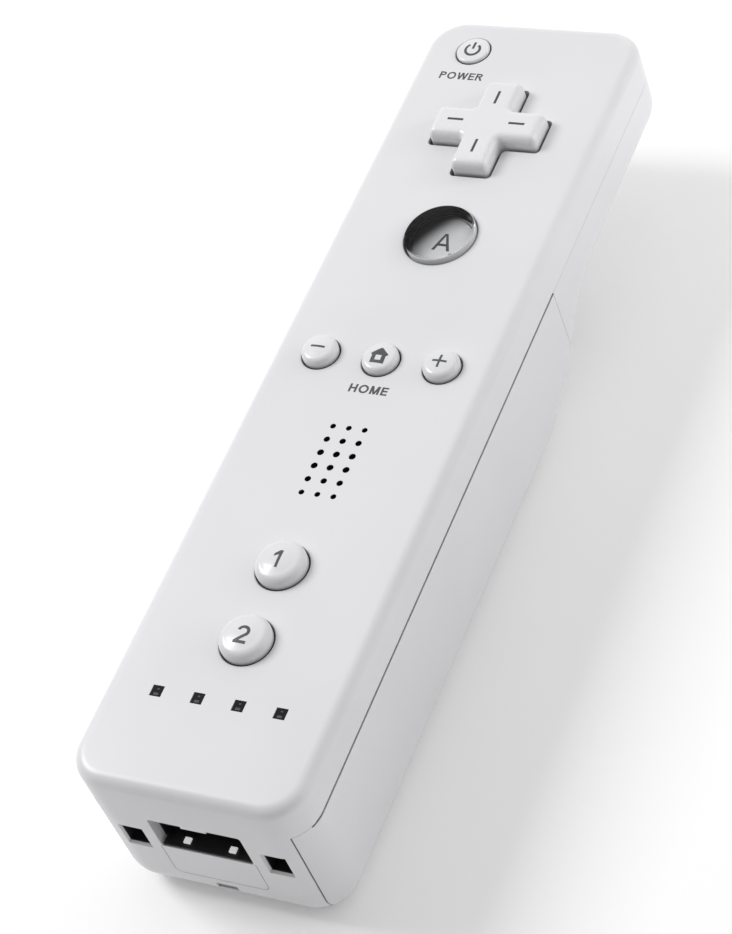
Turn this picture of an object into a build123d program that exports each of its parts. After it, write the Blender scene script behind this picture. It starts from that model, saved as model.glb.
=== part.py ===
from build123d import *
import os
import math

# Bar-shaped one-hand game controller, lying on its back with its buttons up.
# X is across, +Y points to the infrared end, +Z comes up through the face. Millimetres.
os.makedirs("parts", exist_ok=True)

# ---------------------------------------------------------------- driving dimensions
WIDTH = 36.2            # across the face
LENGTH = 148.0          # port end to infrared end
HEIGHT = 30.8           # battery cover to the top of the cross
DPAD_PROUD = 2.6        # cross above the face
FACE_Z = HEIGHT - DPAD_PROUD
HEAD_DEPTH = 16.4       # face to the underside at the infrared end
S_BOT_Y = 10.5          # where the slope of the underside starts
S_TOP_Y = 43.0          # where it ends
R_PLAN = 5.9            # corners seen from above
R_FACE = 1.9            # edge round the face
R_BACK = 5.5            # edge round the back
WALL = 1.6              # shell wall
SEAM_DEPTH = 6.6        # face to the side seam
COVER_GAP = 0.36        # side seam between front shell and battery cover
COVER_Y = 24.5          # front end of the battery cover
COVER_FRONT_GAP = 0.06
SEAM_END_Y = -70.7      # the side seam closes up round the corner from here
TONGUE_GAP = 0.2
TONGUE_X = 15.2         # half width of the front shell's end tongue
TONGUE_Z = 3.0          # its lower edge
BELLY_OUT = 1.9         # inner tub, set in from the outer surface
BELLY_IN = 3.2

PORT_X, PORT_Z0, PORT_Z1 = 7.3, FACE_Z - 14.8, FACE_Z - 8.1
PORT_DEPTH = 11.0
LATCH_X0, LATCH_X1, LATCH_Z0, LATCH_Z1 = 9.6, 12.9, FACE_Z - 15.8, FACE_Z - 11.6
CUP, CUP_LIP = 0.45, 0.45   # wall of the black cups behind the latch holes, shell left in front of them
PLATE_X, PLATE_Z0 = 7.5, FACE_Z - 21.7
STRAP_X, STRAP_Z0, STRAP_Z1 = 1.7, 4.1, 5.4

DPAD_Y, DPAD_SPAN, DPAD_ARM = 49.6, 18.2, 6.15
A_Y, A_D = 27.75, 11.3
POWER_X, POWER_Y, POWER_D = -9.4, 66.9, 5.5
ROW_Y, ROW_X, SMALL_D = 2.8, 10.0, 5.7
ONE_Y, TWO_Y, NUMBER_D = -35.4, -48.3, 7.75
POWER_PROUD, SIDE_PROUD, HOME_PROUD, NUMBER_PROUD, A_PROUD = 0.6, 1.75, 1.4, 2.3, 1.4
BUTTON_GAP = 0.15
SMALL_TRAVEL, NUMBER_TRAVEL, A_TRAVEL = 0.8, 1.1, 1.3

SPK_X, SPK_Y0, SPK_DY = 2.58, -10.1, 2.45
SPK_D = [0.9, 1.0, 1.08, 1.08, 1.0, 0.9]
SPK_Y, GRILLE_Z = -15.9, FACE_Z - 0.85
LED_Y, LED_XS, LED_SIZE = -58.5, (-9.7, -3.23, 3.23, 9.7), 1.8

PCB_Z0, PCB_Z1 = 20.8, 22.0
PAD_Z = PCB_Z1 + 0.6    # top of the rubber keypad's sheet
STEM_Z = 24.2           # lower end of every button's stem
CELL_D, CELL_L, CELL_NUB = 14.2, 49.2, 1.2
CELL_X, CELL_Z, CELL_Y0 = 7.45, 10.2, -58.2
TRAY_Z0, TRAY_Z1 = 17.6, 18.8

TRIG_Y, TRIG_Z, TRIG_W = 61.5, 16.4, 17.4
MOTOR_Y, MOTOR_Z = 12.0, 10.8

HW, HL = WIDTH / 2, LENGTH / 2
HEAD_Z = FACE_Z - HEAD_DEPTH
SEAM_Z = FACE_Z - SEAM_DEPTH
IN_Z = FACE_Z - WALL
S_R = ((S_TOP_Y - S_BOT_Y) ** 2 + HEAD_Z ** 2) / (4 * HEAD_Z)


# ---------------------------------------------------------------- helpers
def box(x0, x1, y0, y1, z0, z1):
    return Pos((x0 + x1) / 2, (y0 + y1) / 2, (z0 + z1) / 2) * Box(x1 - x0, y1 - y0, z1 - z0)


def cyl(x, y, z0, z1, r):
    return Pos(x, y, (z0 + z1) / 2) * Cylinder(r, z1 - z0)


def cyl_x(y, z, x0, x1, r):
    return Pos((x0 + x1) / 2, y, z) * Rot(0, 90, 0) * Cylinder(r, x1 - x0)


def cyl_y(x, z, y0, y1, r):
    return Pos(x, (y0 + y1) / 2, z) * Rot(90, 0, 0) * Cylinder(r, y1 - y0)


def rbox(x0, x1, y0, y1, z0, z1, r):
    s = Pos((x0 + x1) / 2, (y0 + y1) / 2) * RectangleRounded(x1 - x0, y1 - y0, r)
    return Pos(0, 0, z0) * extrude(s, z1 - z0)


def rbox_y(x0, x1, y0, y1, z0, z1, r):
    # rounded in the XZ plane, extruded along Y
    s = Plane.XZ * (Pos((x0 + x1) / 2, (z0 + z1) / 2) * RectangleRounded(x1 - x0, z1 - z0, r))
    return Pos(0, y1, 0) * extrude(s, y1 - y0)


def turned(pts, x=0, y=0):
    # closed outline of (radius, height) turned about Z
    w = Polyline(*[(p[0], 0, p[1]) for p in pts], close=True)
    return Pos(x, y, 0) * revolve(make_face(w), Axis.Z)


def save(name, shape):
    export_step(shape, "parts/" + name + ".step")


def prism_x(pts, x0, x1):
    # closed outline of (y, z) extruded along X
    w = Polyline(*[(0, p[0], p[1]) for p in pts], close=True)
    return Pos(x0, 0, 0) * extrude(make_face(w), x1 - x0, dir=(1, 0, 0))


def envelope(t, r_face=None, r_back=None):
    """The outer form, set in by t."""
    zb, zt, zh = t, FACE_Z - t, HEAD_Z + t
    c1 = (S_BOT_Y, S_R)
    c2 = (S_TOP_Y, HEAD_Z - S_R)
    u = ((c2[0] - c1[0]) / (2 * S_R), (c2[1] - c1[1]) / (2 * S_R))
    ua = math.atan2(u[1], u[0])
    mid = (c1[0] + (S_R - t) * u[0], c1[1] + (S_R - t) * u[1])
    a1 = (-math.pi / 2 + ua) / 2
    m1 = (c1[0] + (S_R - t) * math.cos(a1), c1[1] + (S_R - t) * math.sin(a1))
    a2 = (math.pi / 2 + (ua + math.pi)) / 2
    m2 = (c2[0] + (S_R + t) * math.cos(a2), c2[1] + (S_R + t) * math.sin(a2))
    p = lambda q: (0, q[0], q[1])
    edges = [
        Line(p((-HL, zt)), p((-HL, zb))),
        Line(p((-HL, zb)), p((S_BOT_Y, zb))),
        ThreePointArc(p((S_BOT_Y, zb)), p(m1), p(mid)),
        ThreePointArc(p(mid), p(m2), p((S_TOP_Y, zh))),
        Line(p((S_TOP_Y, zh)), p((HL, zh))),
        Line(p((HL, zh)), p((HL, zt))),
        Line(p((HL, zt)), p((-HL, zt))),
    ]
    face = make_face(edges)
    body = Pos(-HW, 0, 0) * extrude(face, WIDTH, dir=(1, 0, 0))
    plan = extrude(RectangleRounded(WIDTH - 2 * t, LENGTH - 2 * t, R_PLAN - t), 60)
    body = body & (Pos(0, 0, -5) * plan)
    rf = R_FACE - t if r_face is None else r_face
    rb = R_BACK - t if r_back is None else r_back
    top = [e for e in body.edges() if abs(e.bounding_box().min.Z - zt) < 1e-4]
    if rf > 0.15:
        body = fillet(top, rf)
    back = []
    for e in body.edges():
        b = e.bounding_box()
        if b.max.Z > zt - max(rf, 0) - 0.5:
            continue
        if b.size.X < 1e-4 and b.size.Y < 1e-4:
            continue
        if b.size.Y < 1e-4 and b.size.Z < 1e-4 and abs(abs(b.center().Y) - (HL - t)) > 0.01:
            continue
        back.append(e)
    if rb > 0.15:
        body = fillet(back, rb)
    return body


def cross(span, arm, r_out, r_in):
    s = Rectangle(span, arm) + Rectangle(arm, span)
    outer = [v for v in s.vertices() if max(abs(v.X), abs(v.Y)) > span / 2 - 0.01]
    s = fillet(outer, r_out)
    inner = [v for v in s.vertices() if abs(abs(v.X) - arm / 2) < 0.01 and abs(abs(v.Y) - arm / 2) < 0.01]
    return fillet(inner, r_in)


# ---------------------------------------------------------------- shells
ENV0 = envelope(0)
ENV_W = envelope(WALL)
ENV_B0 = envelope(BELLY_OUT)
ENV_B1 = envelope(BELLY_IN)
ENV_L0 = envelope(1.68)
ENV_L1 = envelope(2.7)
BIG = 100

skin = ENV0 - ENV_W

# --- front shell: face, upper side walls, end tongue, bosses
front = skin & box(-BIG, BIG, -BIG, BIG, SEAM_Z, BIG)
tongue = ENV0 & box(-TONGUE_X, TONGUE_X, -BIG, -HL + WALL, TONGUE_Z, SEAM_Z + 0.5)
front = front + tongue
# square-cornered rebate that makes the side seam read as a line
front = front - (box(-BIG, BIG, SEAM_END_Y, COVER_Y, SEAM_Z - 1, SEAM_Z + 0.12)
                 - (ENV0 & box(-HW + 0.35, HW - 0.35, -BIG, BIG, -1, 60)))
# expansion port opening with its key, latch holes, insert plate and strap slot
port_cut = rbox_y(-PORT_X, PORT_X, -HL - 2, -HL + WALL + 1, PORT_Z0, PORT_Z1, 0.5)
port_cut = port_cut - box(-2.0, 2.0, -BIG, BIG, PORT_Z1 - 0.5, PORT_Z1 + 1)
front = front - port_cut
for s in (-1, 1):
    xa, xb = sorted((s * LATCH_X0, s * LATCH_X1))
    front = front - rbox_y(xa, xb, -HL - 2, -HL + 4, LATCH_Z0, LATCH_Z1, 0.25)
    bevel = Plane.XZ.offset(HL) * (Pos((xa + xb) / 2, (LATCH_Z0 + LATCH_Z1) / 2) * Rectangle(xb - xa + 0.7, LATCH_Z1 - LATCH_Z0 + 0.7))
    front = front - extrude(bevel, amount=-0.6, taper=30)
    front = front - box(xa - CUP - 0.05, xb + CUP + 0.05, -HL + CUP_LIP, -HL + 4, LATCH_Z0 - CUP - 0.05, LATCH_Z1 + CUP + 0.05)
plate_cut = rbox_y(-PLATE_X, PLATE_X, -HL - 2, -HL + WALL + 1, PLATE_Z0, PORT_Z0 + 2, 1.2) & box(-BIG, BIG, -BIG, BIG, -BIG, PORT_Z0 + 0.01)
front = front - plate_cut
strap_pocket = box(-STRAP_X, STRAP_X, -HL - 1, -HL + WALL + 0.01, STRAP_Z0, STRAP_Z1)
front = front - strap_pocket
# button openings
for (bx, by, d) in ((POWER_X, POWER_Y, POWER_D), (-ROW_X, ROW_Y, SMALL_D), (0, ROW_Y, SMALL_D), (ROW_X, ROW_Y, SMALL_D),
                    (0, ONE_Y, NUMBER_D), (0, TWO_Y, NUMBER_D), (0, A_Y, A_D)):
    r = d / 2 + BUTTON_GAP
    front = front - turned([(0, IN_Z - 1), (r, IN_Z - 1), (r, FACE_Z - 0.18), (r + 0.22, FACE_Z + 0.05), (0, FACE_Z + 0.05)], bx, by)
dpad_hole = extrude(cross(DPAD_SPAN + 0.86, DPAD_ARM + 0.86, 0.8, 0.8), 4)
front = front - Pos(0, DPAD_Y, IN_Z - 1) * dpad_hole
# speaker holes
for i in range(6):
    for j in (-1, 0, 1):
        front = front - cyl(j * SPK_X, SPK_Y0 - i * SPK_DY, IN_Z - 1, FACE_Z + 1, SPK_D[i] / 2)
# lamp windows
for lx in LED_XS:
    front = front - box(lx - LED_SIZE / 2, lx + LED_SIZE / 2, LED_Y - LED_SIZE / 2, LED_Y + LED_SIZE / 2, IN_Z - 1, FACE_Z + 1)
# infrared window opening, half in each shell
IRW, IRH = 22.0, 7.4
ir_open = rbox_y(-IRW / 2 - 0.12, IRW / 2 + 0.12, HL - WALL - 1, HL + 1, SEAM_Z - IRH / 2 - 0.12, SEAM_Z + IRH / 2 + 0.12, 2.1)
front = front - ir_open
# ring round the speaker, screw bosses with pilot holes, ribs under the face
ring = cyl(0, SPK_Y, 25.3, IN_Z + 0.01, 10.2) - cyl(0, SPK_Y, 25, IN_Z + 0.1, 9.4)
front = front + ring - cyl(0, SPK_Y, 25, GRILLE_Z, 9.4)
SCREWS_HEAD = [(-12.8, 57.5), (12.8, 57.5)]
SCREWS_MID = [(-12.0, 20.2), (12.0, 20.2)]
for (sx, sy) in SCREWS_HEAD:
    front = front + cyl(sx, sy, 19.6, IN_Z + 0.01, 2.3) - cyl(sx, sy, 19.5, 25.6, 1.03)
for (sx, sy) in SCREWS_MID:
    front = front + cyl(sx, sy, 18.9, IN_Z + 0.01, 2.3) - cyl(sx, sy, 18.8, 25.6, 1.03)
for ry in (13.0, -26.8, -56.0, 38.0):
    front = front + (box(-16.6, 16.6, ry - 0.4, ry + 0.4, 24.9, IN_Z + 0.01) & ENV_W)
# pockets behind the strap slot, with a seat for the strap pin
strap_box = box(-4.2, 4.2, -HL + WALL - 0.01, -HL + WALL + 3.4, STRAP_Z0 - 0.6, STRAP_Z1 + 1.0) & envelope(0.8)
strap_box = strap_box - box(-STRAP_X, STRAP_X, -HL + 0.5, -HL + WALL + 2.8, STRAP_Z0, STRAP_Z1 + 0.6)
strap_box = strap_box - cyl_x(-HL + WALL + 1.5, STRAP_Z0 + 0.75, -3.6, 3.6, 0.52)
front = front + strap_box
save("front_shell", front)

save("strap_pin", cyl_x(-HL + WALL + 1.5, STRAP_Z0 + 0.75, -3.55, 3.55, 0.5))

plate = rbox_y(-PLATE_X + 0.09, PLATE_X - 0.09, -HL, -HL + WALL, PLATE_Z0 + 0.09, PORT_Z0 + 2, 1.1)
plate = (plate & box(-BIG, BIG, -BIG, BIG, -BIG, PORT_Z0 - 0.02)) & ENV0
plate = plate + box(-6.0, 6.0, -HL + WALL - 0.05, -HL + WALL + 0.5, PLATE_Z0 + 2.0, PORT_Z0 - 1.6)
save("strap_plate", plate)

# --- rear shell: head underside plus the inner tub under the battery cover
rear = skin & box(-BIG, BIG, COVER_Y, BIG, -BIG, SEAM_Z - 0.05)
lip = (ENV_L0 - ENV_L1) & box(-BIG, BIG, COVER_Y + 1.5, BIG, SEAM_Z - 3.0, SEAM_Z + 1.2)
lip_root = (ENV_W - ENV_L1) & box(-BIG, BIG, COVER_Y + 1.5, BIG, SEAM_Z - 3.0, SEAM_Z - 1.2)
rear = rear + lip + lip_root
tub = (ENV_B0 - ENV_B1) & box(-BIG, BIG, -BIG, COVER_Y + 1.6, -BIG, SEAM_Z + 1.2)
# the collar that joins the tub to the outer skin at the cover's front end
collar = (ENV0 - ENV_B1) & box(-BIG, BIG, COVER_Y + 0.01, COVER_Y + 1.6, -BIG, SEAM_Z - 0.05)
rear = rear + tub + collar
# open battery bay and its ceiling and end walls
BAY_Y0, BAY_Y1 = -61.2, -4.0
rear = rear - box(-14.72, 14.72, BAY_Y0, BAY_Y1, -1, 8.0)
rear = rear + box(-15.2, 15.2, BAY_Y0 - 1.2, BAY_Y1 + 1.2, TRAY_Z0, TRAY_Z1)
rear = rear + (box(-15.2, 15.2, BAY_Y0 - 1.2, BAY_Y0, 2.4, TRAY_Z0 + 0.1) & ENV_B0)
rear = rear + (box(-15.2, 15.2, BAY_Y1, BAY_Y1 + 1.2, 2.4, TRAY_Z0 + 0.1) & ENV_B0)
# low keel between the two cells
rear = rear + box(-0.25, 0.25, BAY_Y0 + 4, BAY_Y1 - 4, 13.2, TRAY_Z0 + 0.1)
# posts under the circuit board
for (px, py) in ((-12.6, -22), (12.6, -22), (-12.6, -50), (12.6, -50)):
    rear = rear + cyl(px, py, TRAY_Z1 - 0.1, PCB_Z0, 1.0)
# end wall of the tub: port, latch holes, strap pocket and the tongue's edge
rear = rear - box(-8.5, 8.5, -HL - 1, -60.9, PORT_Z0 - 1.25, 21.4) \
            - box(-8.5, 8.5, -HL - 1, -HL + 3.6, 21.3, 30)
rear = rear + (box(-15.2, 15.2, BAY_Y0 - 1.2, BAY_Y0, 2.4, PORT_Z0 - 1.25) & ENV_B0)
for s in (-1, 1):
    xa, xb = sorted((s * 8.2, s * (LATCH_X1 + CUP + 0.15)))
    rear = rear - box(xa, xb, -HL, -HL + 5.0, LATCH_Z0 - CUP - 0.15, LATCH_Z1 + CUP + 0.15)
rear = rear - box(-4.5, 4.5, -HL, -HL + WALL + 3.7, STRAP_Z0 - 2.6, STRAP_Z1 + 2.3)
rear = rear - box(-6.3, 6.3, -HL, -HL + 2.4, PLATE_Z0 + 1.8, PORT_Z0)
# infrared window
rear = rear - ir_open
rear = rear - rbox_y(-IRW / 2 - 1.3, IRW / 2 + 1.3, HL - WALL - 1.2, HL - WALL, SEAM_Z - IRH / 2 - 0.9, SEAM_Z + IRH / 2 + 0.9, 2.4)
# trigger slot in the head underside, with the two ears that hold the trigger's pin
SLOT_Y0, SLOT_Y1 = 35.2, 64.4
rear = rear - rbox(-TRIG_W / 2 - 0.35, TRIG_W / 2 + 0.35, SLOT_Y0, SLOT_Y1, HEAD_Z - 4, HEAD_Z + WALL + 1, 1.2)
for s in (-1, 1):
    xa, xb = sorted((s * (TRIG_W / 2 + 0.45), s * (TRIG_W / 2 + 1.85)))
    ear = box(xa, xb, TRIG_Y - 2.4, TRIG_Y + 2.4, HEAD_Z + 1.0, TRIG_Z + 2.3)
    rear = rear + ear
rear = rear - cyl_x(TRIG_Y, TRIG_Z, -TRIG_W / 2 - 1.6, TRIG_W / 2 + 1.6, 1.03)
# wall and roof behind the trigger, which close the slot's rear gap
rear = rear + (box(-TRIG_W / 2 - 1.6, TRIG_W / 2 + 1.6, SLOT_Y0 - 1.2, SLOT_Y0 + 0.01, HEAD_Z - 2, 19.35) & envelope(0.8)) \
            + box(-TRIG_W / 2 - 1.6, TRIG_W / 2 + 1.6, SLOT_Y0 - 1.2, 41.0, 18.5, 19.35)
# screw bosses and recesses
for (sx, sy) in SCREWS_HEAD:
    rear = rear + cyl(sx, sy, HEAD_Z + 1, 19.4, 2.3)
    rear = rear - cyl(sx, sy, HEAD_Z - 1, HEAD_Z + 3.2, 1.9) - cyl(sx, sy, HEAD_Z, 20, 1.12)
for (sx, sy) in SCREWS_MID:
    rear = rear + (cyl(sx, sy, 4.8, 18.7, 2.7) & ENV_B0)
    rear = rear - cyl(sx, sy, 0, 7.7, 1.9) - cyl(sx, sy, 0, 20, 1.12)
# opening for the pairing button
SYNC_X, SYNC_Y = 10.2, -65.6
rear = rear - cyl(SYNC_X, SYNC_Y, -1, BELLY_IN + 0.4, 1.62)
save("rear_shell", rear)

# --- battery cover: one U-shaped shell that wraps the sides and the end corners
cover = skin & box(-BIG, BIG, -BIG, COVER_Y - COVER_FRONT_GAP, -BIG, SEAM_Z - COVER_GAP)
cover = cover + (skin & box(-BIG, BIG, -BIG, SEAM_END_Y, SEAM_Z - COVER_GAP - 0.5, SEAM_Z - 0.04))
cover = cover - box(-TONGUE_X - TONGUE_GAP, TONGUE_X + TONGUE_GAP, -BIG, -HL + 4.0, TONGUE_Z - TONGUE_GAP, 60)
# thumb ridges near the end and two locating ribs inside
for i in range(5):
    cover = cover - (Pos(0, -60.0 - i * 1.9, 0.0) * Rot(0, 90, 0) * Cylinder(0.42, 15.0))
cover = cover + box(-0.5, 0.5, -50, -14, WALL - 0.01, WALL + 0.9)
save("battery_cover", cover)

# ---------------------------------------------------------------- infrared end
irwin = rbox_y(-IRW / 2, IRW / 2, HL - WALL, HL - 0.12, SEAM_Z - IRH / 2, SEAM_Z + IRH / 2, 2.0)
irwin = irwin + rbox_y(-IRW / 2 - 1.0, IRW / 2 + 1.0, HL - WALL - 0.9, HL - WALL - 0.04, SEAM_Z - IRH / 2 - 0.7, SEAM_Z + IRH / 2 + 0.7, 2.3) \
              + rbox_y(-IRW / 2 + 0.5, IRW / 2 - 0.5, HL - WALL - 0.5, HL - 0.6, SEAM_Z - IRH / 2 + 0.5, SEAM_Z + IRH / 2 - 0.5, 1.5)
irwin = fillet([e for e in irwin.edges() if e.bounding_box().min.Y > HL - 0.13], 0.25)
save("ir_window", irwin)
cam = box(-5, 5, 65.0, 69.4, 17.6, 25.0) + box(-3.6, 3.6, 69.3, 70.4, 18.8, 24.0)
save("ir_camera", cam)
save("ir_camera_lens", turned([(0, 0), (2.4, 0), (2.4, 0.5), (1.9, 0.8), (0.9, 1.0), (0, 1.05)]).moved(
    Location((0, 70.42, 21.4), (-90, 0, 0))))

# ---------------------------------------------------------------- expansion port
hz0, hz1 = PORT_Z0 - 1.0, 21.2
SILL_Z = PORT_Z0 + 0.33
hy0, hy1 = -HL + WALL + 0.06, -HL + WALL + 0.06 + PORT_DEPTH - 0.4
housing = box(-8.3, 8.3, hy0, hy1, hz0, hz1)
housing = housing - rbox_y(-7.15, 7.15, hy0 - 1, hy1 - 1.2, SILL_Z, PORT_Z1 - 0.1, 0.3)
# sill that carries the port's floor through the shell wall
housing = housing + box(-7.05, 7.05, -HL + 0.15, hy0 + 0.01, PORT_Z0 + 0.1, SILL_Z)
for x in (-3.6, 3.6):
    housing = housing - box(x - 0.51, x + 0.51, -HL + 0.84, -HL + 1.76, SILL_Z - 0.13, SILL_Z + 1)
housing = housing + box(-2.0, 2.0, hy0, hy0 + 4.0, PORT_Z1 - 0.7, PORT_Z1)
# cups behind the latch holes
for s in (-1, 1):
    xa, xb = sorted((s * LATCH_X0, s * LATCH_X1))
    cup = box(xa - CUP, xb + CUP, -HL + CUP_LIP + 0.05, -HL + 4.7, LATCH_Z0 - CUP, LATCH_Z1 + CUP)
    cup = cup - box(xa, xb, -HL, -HL + 4.2, LATCH_Z0, LATCH_Z1)
    xc, xd = sorted((s * 8.2, s * (LATCH_X0 - CUP + 0.05)))
    housing = housing + cup + box(xc, xd, hy0 + 0.3, -HL + 4.7, LATCH_Z0 + 1.0, LATCH_Z1 - 0.6)
# contact tongue inside
housing = housing + box(-4.6, 4.6, hy0 + 3.6, hy1 - 1.1, 16.0, 17.6)
save("port_housing", housing)
pins = [box(x - 0.35, x + 0.35, hy0 + 4.0, hy1 - 1.3, 17.61, 17.8) for x in (-3.6, -1.2, 1.2, 3.6)]
pins += [box(x - 0.35, x + 0.35, hy0 + 4.0, hy1 - 1.3, 15.8, 15.99) for x in (-2.4, 2.4)]
save("port_contacts", Compound(children=pins))
nibs = [box(x - 0.5, x + 0.5, -HL + 0.85, -HL + 1.75, SILL_Z - 0.12, SILL_Z + 0.3) for x in (-3.6, 3.6)]
save("port_nibs", Compound(children=nibs))


# ---------------------------------------------------------------- buttons
def round_button(x, y, d, proud, crown, stem_r, edge=0.55):
    # domed cap, flange under the shell and stem, in one turned moulding
    r = d / 2
    top = FACE_Z + proud
    pts = [(0, top)]
    n = 8
    for i in range(1, n + 1):
        q = (r - edge) * i / n
        pts.append((q, top - crown * (q / r) ** 2))
    zc = pts[-1][1] - edge
    for i in range(1, 11):
        a = math.pi / 2 * (1 - i / 10)
        pts.append((r - edge + edge * math.cos(a), zc + edge * math.sin(a)))
    f = IN_Z - 0.06
    pts += [(r, f), (r + 0.85, f), (r + 0.85, f - 0.8), (stem_r, f - 0.8), (stem_r, STEM_Z), (0, STEM_Z)]
    return turned(pts, x, y)


save("power_button", round_button(POWER_X, POWER_Y, POWER_D, POWER_PROUD, 0.25, 1.2, 0.4))
save("minus_button", round_button(-ROW_X, ROW_Y, SMALL_D, SIDE_PROUD, 0.5, 1.2, 1.05))
save("home_button", round_button(0, ROW_Y, SMALL_D, HOME_PROUD, 0.4, 1.2, 0.9))
save("plus_button", round_button(ROW_X, ROW_Y, SMALL_D, SIDE_PROUD, 0.5, 1.2, 1.05))
save("one_button", round_button(0, ONE_Y, NUMBER_D, NUMBER_PROUD, 0.75, 1.6, 1.4))
save("two_button", round_button(0, TWO_Y, NUMBER_D, NUMBER_PROUD, 0.75, 1.6, 1.4))

# large button: clear lens over a white plunger
ra = A_D / 2
cap = [(0, FACE_Z + A_PROUD)]
AE = 0.5
for i in range(1, 11):
    q = (ra - AE) * i / 10
    cap.append((q, FACE_Z + A_PROUD - 0.45 * (q / ra) ** 2))
zc = cap[-1][1] - AE
for i in range(1, 9):
    a = math.pi / 2 * (1 - i / 8)
    cap.append((ra - AE + AE * math.cos(a), zc + AE * math.sin(a)))
AF = IN_Z - 0.06
# the lens is one deep block of clear plastic; its flange keeps it under the shell
BASE_TOP = STEM_Z + 0.7
cap += [(ra, AF), (ra + 0.9, AF), (ra + 0.9, AF - 0.6), (ra - 0.3, AF - 0.6), (ra - 0.3, BASE_TOP + 0.05), (0, BASE_TOP + 0.05)]
save("a_lens", turned(cap, 0, A_Y))
rb = ra - 0.35
base = [(0, BASE_TOP)]
for i in range(0, 9):
    a = math.pi / 2 * (1 - i / 8)
    base.append((rb - 1.0 + 1.0 * math.cos(a), BASE_TOP - 0.5 + 0.5 * math.sin(a)))
base += [(rb, STEM_Z), (0, STEM_Z)]
save("a_base", turned(base, 0, A_Y))

# cross rocker on its ball pivot
DP_Z = 24.3
cr = extrude(cross(DPAD_SPAN, DPAD_ARM, 0.9, 0.7), HEIGHT - 25.4)
cr = fillet(cr.edges().group_by(Axis.Z)[-1], 1.3)
dp = Pos(0, 0, 25.4) * cr
dp = dp + Pos(0, 0, 24.85) * extrude(cross(DPAD_SPAN + 1.6, DPAD_ARM + 1.6, 1.6, 0.4), 0.6)
dp = dp + cyl(0, 0, 23.9, 25.2, 2.6)
for (sx, sy) in ((7, 0), (-7, 0), (0, 7), (0, -7)):
    dp = dp + cyl(sx, sy, STEM_Z, 25.1, 1.2)
dp = dp - Pos(0, 0, DP_Z) * Sphere(1.34)
# a fine groove along each arm
for (gx, gy, gw, gl) in ((0, 5.2, 0.45, 2.7), (0, -5.2, 0.45, 2.7), (5.2, 0, 2.7, 0.45), (-5.2, 0, 2.7, 0.45)):
    dp = dp - box(gx - gw / 2, gx + gw / 2, gy - gl / 2, gy + gl / 2, HEIGHT - 0.16, HEIGHT + 1)
save("dpad", Pos(0, DPAD_Y, 0) * dp)
save("dpad_pivot", Pos(0, DPAD_Y, DP_Z) * Sphere(1.3))
seat = cyl(0, DPAD_Y, PAD_Z + 0.02, 23.5, 1.7) - Pos(0, DPAD_Y, DP_Z) * Sphere(1.34)
save("dpad_seat", seat)


# ---------------------------------------------------------------- rubber keypads
def dome(x, y, r_top, r_base):
    # thin collapsing cone, closed on top, standing on the keypad's sheet
    z1 = STEM_Z - 0.03
    return turned([(0, z1), (r_top, z1), (r_base, PAD_Z), (r_base, PAD_Z - 0.2), (r_base - 0.45, PAD_Z - 0.2),
                   (r_top - 0.45, z1 - 0.5), (0, z1 - 0.5)], x, y)


def keypad(x0, x1, y0, y1, domes, holes):
    k = rbox(x0, x1, y0, y1, PCB_Z1 + 0.01, PAD_Z, 1.0)
    for (hx, hy, hr) in holes:
        k = k - cyl(hx, hy, PCB_Z1 - 1, PAD_Z + 1, hr)
    for (dx, dy, rt, rb2) in domes:
        k = k - cyl(dx, dy, PCB_Z1 - 1, PAD_Z + 1, rb2 - 0.45)
        k = k + dome(dx, dy, rt, rb2)
    return k


pad_a = keypad(-13.5, 13.5, -1.5, 63.5,
               [(-ROW_X, ROW_Y, 1.5, 2.5), (0, ROW_Y, 1.5, 2.5), (ROW_X, ROW_Y, 1.5, 2.5), (0, A_Y, 2.2, 3.4),
                (7, DPAD_Y, 1.4, 2.0), (-7, DPAD_Y, 1.4, 2.0), (0, DPAD_Y + 7, 1.4, 2.0), (0, DPAD_Y - 7, 1.4, 2.0)],
               [(sx, sy, 2.6) for (sx, sy) in SCREWS_MID + SCREWS_HEAD])
save("upper_keypad", pad_a)
pad_b = keypad(-7, 7, -53.5, -30.5, [(0, ONE_Y, 1.9, 3.0), (0, TWO_Y, 1.9, 3.0)], [])
save("lower_keypad", pad_b)
# the power button sits past the keypad, on a tactile switch of its own
psw = box(POWER_X - 2.2, POWER_X + 2.2, POWER_Y - 2.2, POWER_Y + 2.2, PCB_Z1 + 0.01, 23.2)
save("power_switch", psw)

# ---------------------------------------------------------------- circuit board
pcb = rbox(-14.5, 14.5, -61.0, 57.5, PCB_Z0, PCB_Z1, 1.0)
pcb = pcb + box(-13.6, -5.6, 57.0, 70.0, PCB_Z0, PCB_Z1) + box(-5.7, 9.5, 57.0, 64.6, PCB_Z0, PCB_Z1)
for s in (-1, 1):
    xa, xb = sorted((s * 9.2, s * 14.0))
    pcb = pcb + box(xa, xb, -69.6, -60.5, PCB_Z0, PCB_Z1)
for (sx, sy) in SCREWS_MID + SCREWS_HEAD:
    pcb = pcb - cyl(sx, sy, PCB_Z0 - 1, PCB_Z1 + 1, 2.6)
save("main_pcb", pcb)

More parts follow.
